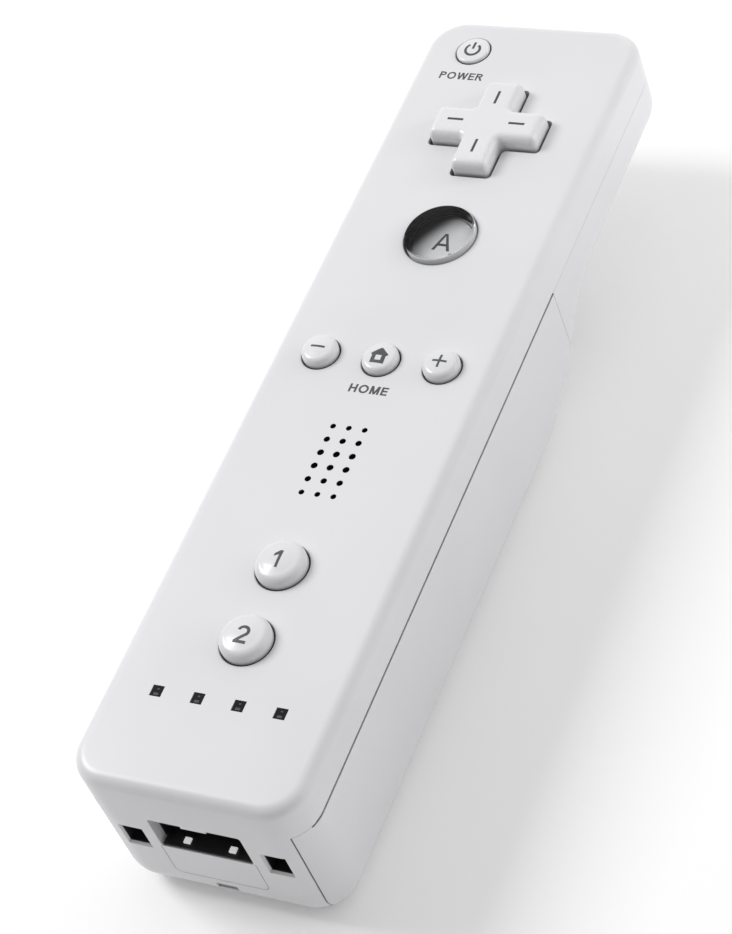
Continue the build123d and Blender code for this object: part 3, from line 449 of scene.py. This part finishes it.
def cell_sleeve():
    """Plain shrink sleeve: slate body, pale end band, bare steel ends. Bands lie by the place along the cell."""
    m = Mat("cell_sleeve")
    x, y, z = m.xyz()
    ym = m.math("MULTIPLY", y, 1.0 / MM)
    n = m.noise(3, 3.0, 0.5)
    f = m.noise(0.2, 2.0, 0.6)
    body = m.mix(m.ramp(n, 0.3, 0.7), (0.035, 0.048, 0.066), (0.045, 0.058, 0.080))
    # pale band towards the bare end of each cell, which lie opposite ways
    left = m.ramp(x, -0.0001, 0.0001, 1.0, 0.0)
    band_l = m.ramp(ym, -19.2, -19.1)
    band_r = m.ramp(ym, -44.6, -44.5, 1.0, 0.0)
    band = m.math("ADD", m.math("MULTIPLY", band_l, left), m.math("MULTIPLY", band_r, m.math("SUBTRACT", 1.0, left)))
    col = m.mix(band, body, (0.52, 0.53, 0.54))
    geo = m.node("ShaderNodeNewGeometry")
    _, ny, _ = m.xyz(geo.outputs["Normal"])
    end = m.ramp(m.math("ABSOLUTE", ny), 0.8, 0.93)
    col = m.mix(end, col, (0.72, 0.71, 0.69))
    m.set(color=col, rough=m.math("ADD", m.ramp(n, 0.3, 0.7, 0.24, 0.33), m.ramp(f, 0.5, 0.7, 0.0, 0.05)), metal=end, coat=0.25, coat_rough=0.12)
    m.bump([(m.noise(1.2, 3.0, 0.5), 0.006), (f, 0.001)])
    return m.m


def glow_chip():
    m = Mat("lamp_chip")
    n = m.noise(0.4, 3.0, 0.5)
    col = m.mix(m.ramp(n, 0.3, 0.7), (0.60, 0.62, 0.55), (0.72, 0.74, 0.66))
    m.set(color=col, rough=m.ramp(n, 0.3, 0.7, 0.22, 0.34), ior=1.5, coat=0.3, coat_rough=0.1)
    m.bump([(n, 0.004)], 0.05)
    return m.m


SHELL = moulded("shell_white", SHELL_TONE, 0.33, seed=0.0, shade_free=(0.0, A_Y, 6.1), holes=(0.0, -15.9, 9.0))
COVER = moulded("cover_white", SHELL_TONE, 0.35, grain=0.0022, seed=20.0)
BUTTON = moulded("button_white", BUTTON_TONE, 0.24, grain=0.0009, seed=40.0, gap_shade=0.35, coat=0.15)
RED = moulded("pairing_red", (0.52, 0.035, 0.03), 0.28, seed=50.0)
NIB_GLOW = moulded("nib_white_glow", (0.94, 0.94, 0.94), 0.3, seed=60.0, gap_shade=0.05)
# painted light: the nibs glow faintly of their own, though they are no lamp
for key, v in (("Emission Color", (1.0, 1.0, 1.0, 1.0)), ("Emission Strength", 0.4)):
    NIB_GLOW.node_tree.nodes["Principled BSDF"].inputs[key].default_value = v
INK = ink("ink_grey")
INK_A = ink("ink_under_lens", 0.06)
SMOKE = smoke("smoke_window")
LAMP_SMOKE = smoke("lamp_smoke", 0.003, 0.16)
for key, v in (("Coat Weight", 0.05), ("Specular IOR Level", 0.2)):
    LAMP_SMOKE.node_tree.nodes["Principled BSDF"].inputs[key].default_value = v
BLACK = black_plastic()
STEEL = metal("plated_steel", (0.66, 0.66, 0.67), 0.25, (0.15, 1.0, 1.0))
SPRING = metal("spring_steel", (0.60, 0.60, 0.61), 0.22, (1.0, 1.0, 0.3))
GOLD = metal("gold_plate", (0.86, 0.62, 0.26), 0.2, (1.0, 0.1, 1.0), (0.45, 0.30, 0.12), 0.25)
TUNGSTEN = metal("sintered_weight", (0.30, 0.30, 0.31), 0.42, (1.0, 1.0, 1.0), (0.16, 0.15, 0.14), 0.5)

finish = {
    "front_shell": SHELL, "rear_shell": COVER, "battery_cover": COVER, "strap_plate": SHELL, "b_trigger": BUTTON,
    "ir_window": SMOKE, "lamp_windows": LAMP_SMOKE, "port_housing": BLACK, "port_nibs": NIB_GLOW, "port_contacts": GOLD,
    "power_button": BUTTON, "minus_button": BUTTON, "home_button": BUTTON, "plus_button": BUTTON,
    "one_button": BUTTON, "two_button": BUTTON, "dpad": BUTTON, "a_lens": lens_material(), "a_base": base_material(),
    "main_pcb": board(), "lamps": glow_chip(), "speaker_cloth": cloth(), "cell_1": cell_sleeve(), "sync_button": RED,
    "rumble_weight": TUNGSTEN, "battery_springs": SPRING, "b_trigger_spring": SPRING, "ir_camera_lens": SMOKE,
    "speaker": STEEL, "rumble_motor": STEEL,
}
finish["cell_2"] = finish["cell_1"]
rubber = silicone()
for n in ("upper_keypad", "lower_keypad", "speaker_gasket", "rumble_mount"):
    finish[n] = rubber
for n in ("strap_pin", "b_trigger_pin", "case_screws", "battery_plates", "radio_shield", "crystal", "dpad_pivot"):
    finish[n] = STEEL
for n in ("dpad_seat", "power_switch", "sync_switch", "b_trigger_switch", "controller_chip", "memory_chip", "accelerometer",
          "radio_chip", "capacitors", "passives", "ir_camera"):
    finish[n] = BLACK


# ================================================================ smooth shading of the CAD nodes
def smoothing_group(angle_deg):
    """Joins the faces of one surface for shading, and keeps edges sharper than angle_deg crisp."""
    g = bpy.data.node_groups.new("smooth_by_angle", "GeometryNodeTree")
    g.is_modifier = True
    g.interface.new_socket(name="Geometry", in_out="INPUT", socket_type="NodeSocketGeometry")
    g.interface.new_socket(name="Geometry", in_out="OUTPUT", socket_type="NodeSocketGeometry")
    i = g.nodes.new("NodeGroupInput")
    o = g.nodes.new("NodeGroupOutput")
    merge = g.nodes.new("GeometryNodeMergeByDistance")
    merge.inputs["Distance"].default_value = 2e-6
    drop = g.nodes.new("GeometryNodeRemoveAttribute")
    drop.inputs["Name"].default_value = "custom_normal"
    face = g.nodes.new("GeometryNodeSetShadeSmooth")
    face.domain = "FACE"
    face.inputs["Shade Smooth"].default_value = True
    edge = g.nodes.new("GeometryNodeSetShadeSmooth")
    edge.domain = "EDGE"
    ang = g.nodes.new("GeometryNodeInputMeshEdgeAngle")
    cmp_ = g.nodes.new("FunctionNodeCompare")
    cmp_.data_type = "FLOAT"
    cmp_.operation = "LESS_EQUAL"
    cmp_.inputs[1].default_value = math.radians(angle_deg)
    g.links.new(i.outputs[0], drop.inputs["Geometry"])
    g.links.new(drop.outputs[0], merge.inputs["Geometry"])
    g.links.new(merge.outputs[0], face.inputs["Geometry"])
    g.links.new(face.outputs[0], edge.inputs["Geometry"])
    g.links.new(ang.outputs["Unsigned Angle"], cmp_.inputs[0])
    g.links.new(cmp_.outputs[0], edge.inputs["Shade Smooth"])
    g.links.new(edge.outputs[0], o.inputs[0])
    return g


SMOOTH = smoothing_group(24)
for name, ob in NODES.items():
    ob.data.materials.clear()
    ob.data.materials.append(finish[name])
    mod = ob.modifiers.new("smooth", "NODES")
    mod.node_group = SMOOTH


# ================================================================ rubber keypads and their domes
def crisp(bm):
    for f in bm.faces:
        f.smooth = True
    for e in bm.edges:
        e.smooth = len(e.link_faces) == 2 and e.calc_face_angle(0.0) < math.radians(24)


def keypad_sheet(node, z_mm):
    """The keypad below its domes, cut off level and closed again."""
    bm = bmesh.new()
    bm.from_mesh(NODES[node].data)
    bmesh.ops.remove_doubles(bm, verts=bm.verts, dist=2e-6)
    bmesh.ops.bisect_plane(bm, geom=bm.verts[:] + bm.edges[:] + bm.faces[:], dist=1e-7, plane_co=(0, 0, z_mm * MM), plane_no=(0, 0, 1), clear_outer=True)
    rim = [e for e in bm.edges if e.is_boundary]
    bmesh.ops.triangle_fill(bm, edges=rim, use_beauty=True, use_dissolve=False, normal=(0, 0, 1))
    bmesh.ops.recalc_face_normals(bm, faces=bm.faces)
    crisp(bm)
    me = bpy.data.meshes.new(node + "_sheet")
    bm.to_mesh(me)
    open_edges = sum(1 for e in bm.edges if not e.is_manifold)
    bm.free()
    if open_edges:
        print("open edges in", node, open_edges)
    me.materials.append(rubber)
    ob = bpy.data.objects.new(node + "_sheet", me)
    scene.collection.objects.link(ob)
    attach(ob, "root")
    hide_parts(node)


def rubber_dome(name, x, y, r_top, r_base, joint, keep, z1=24.17):
    """Thin cone, closed on top, standing on the board under its button."""
    pad = 22.6
    prof = [(0, z1), (r_top - 0.12, z1), (r_top - 0.03, z1 - 0.03), (r_top, z1 - 0.12), (r_base, pad), (r_base, pad - 0.2), (r_base - 0.45, pad - 0.2),
            (r_top - 0.45, z1 - 0.5), (0, z1 - 0.5)]
    n = 48
    bm = bmesh.new()
    rows = []
    for r, z in prof:
        if r == 0:
            rows.append([bm.verts.new((x * MM, y * MM, z * MM))])
        else:
            rows.append([bm.verts.new(((x + r * math.cos(2 * math.pi * k / n)) * MM, (y + r * math.sin(2 * math.pi * k / n)) * MM, z * MM)) for k in range(n)])
    for a, b in zip(rows, rows[1:]):
        for k in range(n):
            j = (k + 1) % n
            if len(a) == 1:
                bm.faces.new([a[0], b[k], b[j]])
            elif len(b) == 1:
                bm.faces.new([a[k], b[0], a[j]])
            else:
                bm.faces.new([a[k], b[k], b[j], a[j]])
    bmesh.ops.recalc_face_normals(bm, faces=bm.faces)
    crisp(bm)
    me = bpy.data.meshes.new(name)
    bm.to_mesh(me)
    bm.free()
    me.materials.append(rubber)
    ob = bpy.data.objects.new(name, me)
    scene.collection.objects.link(ob)
    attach(ob, "root")
    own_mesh(ob)


keypad_sheet("upper_keypad", 22.596)
keypad_sheet("lower_keypad", 22.596)
for name, x, y, rt, rb, joint, keep, *top in (
        ("minus_dome", -ROW_X, ROW_Y, 1.5, 2.5, "minus_press", 0.60), ("home_dome", 0, ROW_Y, 1.5, 2.5, "home_press", 0.60),
        ("plus_dome", ROW_X, ROW_Y, 1.5, 2.5, "plus_press", 0.60), ("a_dome", 0, A_Y, 2.2, 3.4, "a_press", 0.38),
        ("one_dome", 0, ONE_Y, 1.9, 3.0, "one_press", 0.47), ("two_dome", 0, TWO_Y, 1.9, 3.0, "two_press", 0.47),
        ("right_dome", 7, DPAD_Y, 1.4, 2.0, "dpad_rock_y", 0.72, 24.07), ("left_dome", -7, DPAD_Y, 1.4, 2.0, "dpad_rock_y", 0.72, 24.07),
        ("far_dome", 0, DPAD_Y + 7, 1.4, 2.0, "dpad_rock_x", 0.72, 24.07), ("near_dome", 0, DPAD_Y - 7, 1.4, 2.0, "dpad_rock_x", 0.72, 24.07)):
    rubber_dome(name, x, y, rt, rb, joint, keep, *top)

# the trigger's coil: a copy of the spring's mesh, standing in for the hidden spring
coil = bpy.data.objects.new("trigger_coil", NODES["b_trigger_spring"].data.copy())
scene.collection.objects.link(coil)
coil.modifiers.new("smooth", "NODES").node_group = SMOOTH
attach(coil, "root")
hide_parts("b_trigger_spring")
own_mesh(coil)


# ================================================================ printed marks
def stroke(points, w, cap=0.0, closed=False):
    """Outline of a band of width w along points; cap lengthens the ends."""
    pts = [Vector(p) for p in points]
    if cap and not closed:
        pts[0] = pts[0] + (pts[0] - pts[1]).normalized() * cap
        pts[-1] = pts[-1] + (pts[-1] - pts[-2]).normalized() * cap
    n = len(pts)
    left, right = [], []
    for i in range(n):
        if closed:
            a, b = pts[i - 1], pts[(i + 1) % n]
        else:
            a, b = pts[max(i - 1, 0)], pts[min(i + 1, n - 1)]
        d1 = (pts[i] - a).normalized() if (pts[i] - a).length > 1e-9 else (b - pts[i]).normalized()
        d2 = (b - pts[i]).normalized() if (b - pts[i]).length > 1e-9 else d1
        n1, n2 = Vector((-d1.y, d1.x)), Vector((-d2.y, d2.x))
        m = n1 + n2
        m = m.normalized() if m.length > 1e-6 else n1
        k = min(1.0 / max(m.dot(n1), 0.2), 2.6)
        left.append(pts[i] + m * (w / 2 * k))
        right.append(pts[i] - m * (w / 2 * k))
    if closed:
        return [("band", left, right)]
    return [("solid", left + right[::-1])]


def arc(cx, cy, rx, ry, a0, a1, n=24):
    return [(cx + rx * math.cos(math.radians(a0 + (a1 - a0) * i / n)), cy + ry * math.sin(math.radians(a0 + (a1 - a0) * i / n))) for i in range(n + 1)]


def ring(cx, cy, rx, ry, w, n=48):
    o = arc(cx, cy, rx, ry, 0, 360, n)[:-1]
    i = arc(cx, cy, rx - w, ry - w, 0, 360, n)[:-1]
    return [("band", [Vector(p) for p in o], [Vector(p) for p in i])]


def glyph(ch, w=0.2):
    """Plain block letters, one unit tall: list of outlines and the width."""
    h = w / 2
    if ch == "P":
        g = stroke([(h, 0), (h, 1)], w)
        g += stroke([(0, 1 - h), (0.36, 1 - h)] + arc(0.36, 0.72, 0.27 - h + 0.06, 0.28 - h, 90, -90, 16)[1:-1] + [(0.36, 0.44 + h), (0, 0.44 + h)], w * 0.94)
        return g, 0.70
    if ch == "R":
        g = stroke([(h, 0), (h, 1)], w)
        g += stroke([(0, 1 - h), (0.38, 1 - h)] + arc(0.38, 0.73, 0.27 - h + 0.06, 0.27 - h, 90, -90, 16)[1:-1] + [(0.38, 0.46 + h), (0, 0.46 + h)], w * 0.94)
        g += [("solid", [Vector(p) for p in ((0.30, 0.50), (0.52, 0.50), (0.80, 0.0), (0.57, 0.0))])]
        return g, 0.78
    if ch == "O":
        return ring(0.49, 0.5, 0.49, 0.515, w), 0.98
    if ch == "E":
        g = stroke([(h, 0), (h, 1)], w)
        for y, l in ((h, 0.66), (0.51, 0.61), (1 - h, 0.65)):
            g += stroke([(0, y), (l, y)], w * 0.9)
        return g, 0.66
    if ch == "H":
        g = stroke([(h, 0), (h, 1)], w) + stroke([(0.78 - h, 0), (0.78 - h, 1)], w) + stroke([(0, 0.51), (0.78, 0.51)], w * 0.92)
        return g, 0.78
    if ch == "M":
        g = stroke([(h, 0), (h, 1)], w) + stroke([(0.92 - h, 0), (0.92 - h, 1)], w)
        g += [("solid", [Vector(p) for p in ((0, 1), (w * 1.25, 1), (0.46 + h * 0.9, 0), (0.46 - h * 0.9, 0))])]
        g += [("solid", [Vector(p) for p in ((0.92, 1), (0.92 - w * 1.25, 1), (0.46 - h * 0.9, 0), (0.46 + h * 0.9, 0))])]
        return g, 0.92
    if ch == "W":
        g = []
        for x0, x1 in ((0.0, 0.30), (0.58, 0.30), (0.58, 0.86), (1.16, 0.86)):
            g.append(("solid", [Vector(p) for p in ((x0 - h * 1.04 + (h if x0 == 0 else 0) - (h if x0 == 1.16 else 0), 1), (x0 + h * 1.04 + (h if x0 == 0 else 0) - (h if x0 == 1.16 else 0), 1),
                                                    (x1 + h * 1.04, 0), (x1 - h * 1.04, 0))]))
        return g, 1.16
    if ch == "A":
        g = [("solid", [Vector(p) for p in ((0, 0), (w * 1.06, 0), (0.46 + h * 0.55, 1), (0.46 - h * 1.0, 1))]),
             ("solid", [Vector(p) for p in ((0.92, 0), (0.92 - w * 1.06, 0), (0.46 - h * 0.55, 1), (0.46 + h * 1.0, 1))])]
        g += stroke([(0.17, 0.33), (0.75, 0.33)], w * 0.88)
        return g, 0.92
    if ch == "1":
        g = stroke([(0.36, 0), (0.36, 1)], w)
        g += [("solid", [Vector(p) for p in ((0.27, 1.0), (0.42, 1.0), (0.42, 0.80), (0.02, 0.60), (0.02, 0.76))])]
        return g, 0.46
    if ch == "2":
        top = arc(0.36, 0.68, 0.36 - h, 0.32 - h + 0.02, 168, -38, 26)
        g = stroke(top + [(0.10, 0.11)], w)
        g += stroke([(0.0, h * 0.96), (0.70, h * 0.96)], w * 0.96)
        return g, 0.70
    raise ValueError(ch)


def text_shapes(word, cx, cy, width, cap, weight=0.2, gap=0.16):
    """Outlines of a word set centred on (cx, cy), width x cap in mm."""
    x, parts = 0.0, []
    for ch in word:
        shapes, adv = glyph(ch, weight)
        parts.append((x, shapes))
        x += adv + gap
    total = x - gap
    sx = width / total
    res = []
    for x0, shapes in parts:
        for s in shapes:
            res.append((s[0],) + tuple([Vector(((p.x + x0) * sx + cx - width / 2, p.y * cap + cy - cap / 2)) for p in loop] for loop in s[1:]))
    return res


def cleaned(loop):
    out = []
    for p in loop:
        if not out or (p - out[-1]).length > 1e-5:
            out.append(p)
    if len(out) > 2 and (out[0] - out[-1]).length < 1e-5:
        out.pop()
    return out


def refined(loop, step):
    """Points along every side, so that a long straight side follows a domed surface too."""
    out = []
    for i, p in enumerate(loop):
        q = loop[(i + 1) % len(loop)]
        n = max(1, math.ceil((q - p).length / step - 1e-3))
        out += [p + (q - p) * (k / n) for k in range(n)]
    return out


def mark(name, shapes, height, body, material, proud=0.016, sink=0.03, grid=0.16):
    """A thin closed film of ink that follows the surface height(x, y), all in mm."""
    verts, faces, solid_n = [], [], []

    def add(loop):
        loop = refined(cleaned(loop), grid)
        if sum(loop[i - 1].x * loop[i].y - loop[i].x * loop[i - 1].y for i in range(len(loop))) < 0:
            loop = loop[::-1]
        k = len(verts)
        verts.extend(loop)
        faces.append(list(range(k, k + len(loop))))
        return len(faces) - 1

    for s in shapes:
        if s[0] == "solid":
            add(s[1])
        else:
            n = len(s[1])
            for i in range(n):
                j = (i + 1) % n
                add([s[1][i], s[1][j], s[2][j], s[2][i]])
    xs, ys = [v.x for v in verts], [v.y for v in verts]
    x0, x1, y0, y1 = min(xs), max(xs), min(ys), max(ys)
    inner = []
    nx, ny = int((x1 - x0) / grid) + 1, int((y1 - y0) / grid) + 1
    for i in range(nx + 1):
        for j in range(ny + 1):
            inner.append(Vector((x0 + (i + 0.37) * grid, y0 + (j + 0.41) * grid)))
    v2, _, f2, _, _, of = delaunay_2d_cdt(verts + inner, [], faces, 0, 2e-5, True)
    keep = [f for f, src in zip(f2, of) if src]
    used = sorted({i for f in keep for i in f})
    idx = {v: k for k, v in enumerate(used)}
    bm = bmesh.new()
    tops = [bm.verts.new((v2[i].x * MM, v2[i].y * MM, (height(v2[i].x, v2[i].y) + proud) * MM)) for i in used]
    lows = [bm.verts.new((v2[i].x * MM, v2[i].y * MM, (height(v2[i].x, v2[i].y) - sink) * MM)) for i in used]
    edge_use = {}
    for f in keep:
        a = [idx[i] for i in f]
        area = sum(v2[f[i]].x * v2[f[(i + 1) % len(f)]].y - v2[f[(i + 1) % len(f)]].x * v2[f[i]].y for i in range(len(f)))
        if area < 0:
            a = a[::-1]
        bm.faces.new([tops[i] for i in a])
        bm.faces.new([lows[i] for i in a[::-1]])
        for i in range(len(a)):
            e = (a[i], a[(i + 1) % len(a)])
            edge_use[e] = edge_use.get(e, 0) + 1
    for (a, b) in list(edge_use):
        if (b, a) not in edge_use:
            bm.faces.new([tops[b], tops[a], lows[a], lows[b]])
    bmesh.ops.recalc_face_normals(bm, faces=bm.faces)
    me = bpy.data.meshes.new(name)
    bm.to_mesh(me)
    bm.free()
    me.materials.append(material)
    ob = bpy.data.objects.new(name, me)
    scene.collection.objects.link(ob)
    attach(ob, body)
    return ob


def domed(x, y, r, proud, crown):
    return lambda px, py: FACE_Z + proud - crown * (((px - x) ** 2 + (py - y) ** 2) / (r * r))


flat = lambda px, py: FACE_Z

# power symbol: broken ring and a bar
px, py = POWER[0] + 0.05, POWER[1] - 0.1
mark("power_symbol", stroke(arc(px, py, 1.2, 1.2, 128, 412, 44), 0.42) + stroke([(px, py + 0.1), (px, py + 1.62)], 0.40),
     domed(*POWER, 2.75, 0.6, 0.25), "power_button", INK)
mark("power_word", text_shapes("POWER", -9.4, 61.3, 7.5, 1.5, 0.185, 0.16), flat, "root", INK)

# house symbol: roof with eaves, walls and a square opening
hx, hy = 0.1, ROW_Y - 0.05
roof = [("solid", [Vector((hx + a, hy + b)) for a, b in ((-1.42, 0.28), (-1.22, 0.02), (1.22, 0.02), (1.42, 0.28), (0.14, 1.42), (-0.14, 1.42))])]
walls = [("solid", [Vector((hx + a, hy + b)) for a, b in q]) for q in (
    ((-1.12, -1.40), (-0.48, -1.40), (-0.48, 0.1), (-1.12, 0.1)),
    ((0.48, -1.40), (1.12, -1.40), (1.12, 0.1), (0.48, 0.1)),
    ((-0.6, -1.40), (0.6, -1.40), (0.6, -0.88), (-0.6, -0.88)))]
mark("home_symbol", roof + walls, domed(0, ROW_Y, 2.85, 1.4, 0.4), "home_button", INK)
mark("home_word", text_shapes("HOME", 0.2, -2.75, 6.3, 1.52, 0.2, 0.19), flat, "root", INK)

mark("minus_symbol", stroke([(-ROW_X - 1.15, ROW_Y), (-ROW_X + 1.15, ROW_Y)], 0.36), domed(-ROW_X, ROW_Y, 2.85, 1.75, 0.5), "minus_button", INK)
mark("plus_symbol", stroke([(ROW_X - 1.15, ROW_Y), (ROW_X + 1.15, ROW_Y)], 0.36) + stroke([(ROW_X, ROW_Y - 1.15), (ROW_X, ROW_Y + 1.15)], 0.36),
     domed(ROW_X, ROW_Y, 2.85, 1.75, 0.5), "plus_button", INK)
mark("one_digit", text_shapes("1", -0.15, ONE_Y - 0.1, 1.30, 2.9, 0.15), domed(0, ONE_Y, 3.875, 2.3, 0.75), "one_button", INK)
mark("two_digit", text_shapes("2", 0.12, TWO_Y - 0.3, 1.95, 2.85, 0.165), domed(0, TWO_Y, 3.875, 2.3, 0.75), "two_button", INK)
mark("a_letter", text_shapes("A", 0.0, A_Y + 0.15, 2.85, 3.1, 0.15), lambda x, y: 24.9, "a_button", INK_A, proud=0.02, sink=0.02)

# fillers in the cross's four grooves, a little below its top
for k, (gx, gy, gw, gl) in enumerate(((0, 5.2, 0.43, 2.68), (0, -5.2, 0.43, 2.68), (5.2, 0, 2.68, 0.43), (-5.2, 0, 2.68, 0.43))):
    q = [Vector((gx + a * gw / 2, DPAD_Y + gy + b * gl / 2)) for a, b in ((-1, -1), (1, -1), (1, 1), (-1, 1))]
    mark(f"cross_line_{k + 1}", [("solid", q)], lambda x, y: 30.66, "dpad", INK, proud=0.05, sink=0.02, grid=0.3)

# pale chip seen under each lamp window
CHIP = ink("lamp_shadow", 0.045)
for k, lx in enumerate(LED_XS):
    low = [("solid", [Vector((lx + a, LED_Y + b)) for a, b in ((-0.40, -0.62), (0.26, -0.62), (0.38, -0.50), (0.38, -0.30), (0.22, -0.22), (-0.30, -0.22), (-0.42, -0.34))])]
    up = [("solid", [Vector((lx + a, LED_Y + b)) for a, b in ((-0.16, 0.30), (0.20, 0.30), (0.20, 0.52), (-0.16, 0.52))])]
    mark(f"lamp_chip_{k + 1}", low + up, lambda x, y: FACE_Z - 0.1, "root", CHIP, proud=0.006, sink=0.03, grid=0.3)


# ================================================================ stage
def floor():
    s = 3.0
    me = bpy.data.meshes.new("floor")
    me.from_pydata([(-s, -s, 0), (s, -s, 0), (s, s, 0), (-s, s, 0)], [], [(0, 1, 2, 3)])
    ob = bpy.data.objects.new("floor", me)
    scene.collection.objects.link(ob)
    m = Mat("floor_pale")
    n = m.noise(60, 3.0, 0.5)
    m.set(color=m.mix(n, (0.90, 0.90, 0.90), (0.93, 0.93, 0.93)), rough=m.ramp(n, 0.3, 0.7, 0.7, 0.8), spec=0.2)
    # a faintly lit table, so that the shadow stays pale
    m.b.inputs["Emission Color"].default_value = (1.0, 1.0, 1.0, 1.0)
    m.b.inputs["Emission Strength"].default_value = 0.10
    me.materials.append(m.m)
    ob.location.z = -0.00002
    return ob


floor()

def sky(low, high):
    """Even pale surroundings, dimmer towards the port end."""
    world = bpy.data.worlds.new("studio")
    scene.world = world
    world.use_nodes = True
    t = world.node_tree
    back = t.nodes["Background"]
    back.inputs["Color"].default_value = (1.0, 1.0, 1.0, 1)
    co = t.nodes.new("ShaderNodeTexCoord")
    dot = t.nodes.new("ShaderNodeVectorMath")
    dot.operation = "DOT_PRODUCT"
    dot.inputs[1].default_value = Vector((0.10, 0.85, 0.45)).normalized()
    ramp = t.nodes.new("ShaderNodeMapRange")
    ramp.interpolation_type = "SMOOTHSTEP"
    ramp.inputs["From Min"].default_value = -0.75
    ramp.inputs["From Max"].default_value = 0.75
    ramp.inputs["To Min"].default_value = low
    ramp.inputs["To Max"].default_value = high
    t.links.new(co.outputs["Generated"], dot.inputs[0])
    t.links.new(dot.outputs["Value"], ramp.inputs["Value"])
    t.links.new(ramp.outputs["Result"], back.inputs["Strength"])


def area(name, loc, target, size, power, size_y=None):
    d = bpy.data.lights.new(name, "AREA")
    d.shape = "RECTANGLE"
    d.size = size
    d.size_y = size_y or size
    d.energy = power
    o = bpy.data.objects.new(name, d)
    scene.collection.objects.link(o)
    o.location = loc
    o.rotation_mode = "QUATERNION"
    o.rotation_quaternion = (Vector(target) - Vector(loc)).to_track_quat("-Z", "Y")
    return o


sky(0.12, 0.80)
area("key", (-0.80, 0.05, 0.85), (0, 0, 0), 0.5, 7.5)
area("side", (1.1, 0.25, 0.40), (0, 0, 0), 0.8, 1.6)
head = area("head", (0.22, 0.16, 0.10), (0.018, 0.060, 0.018), 0.06, 0.0042)
head.data.spread = math.radians(30)

scene.view_settings.view_transform = "Standard"
scene.view_settings.look = "None"
scene.view_settings.exposure = 0.0
scene.view_settings.gamma = 1.0
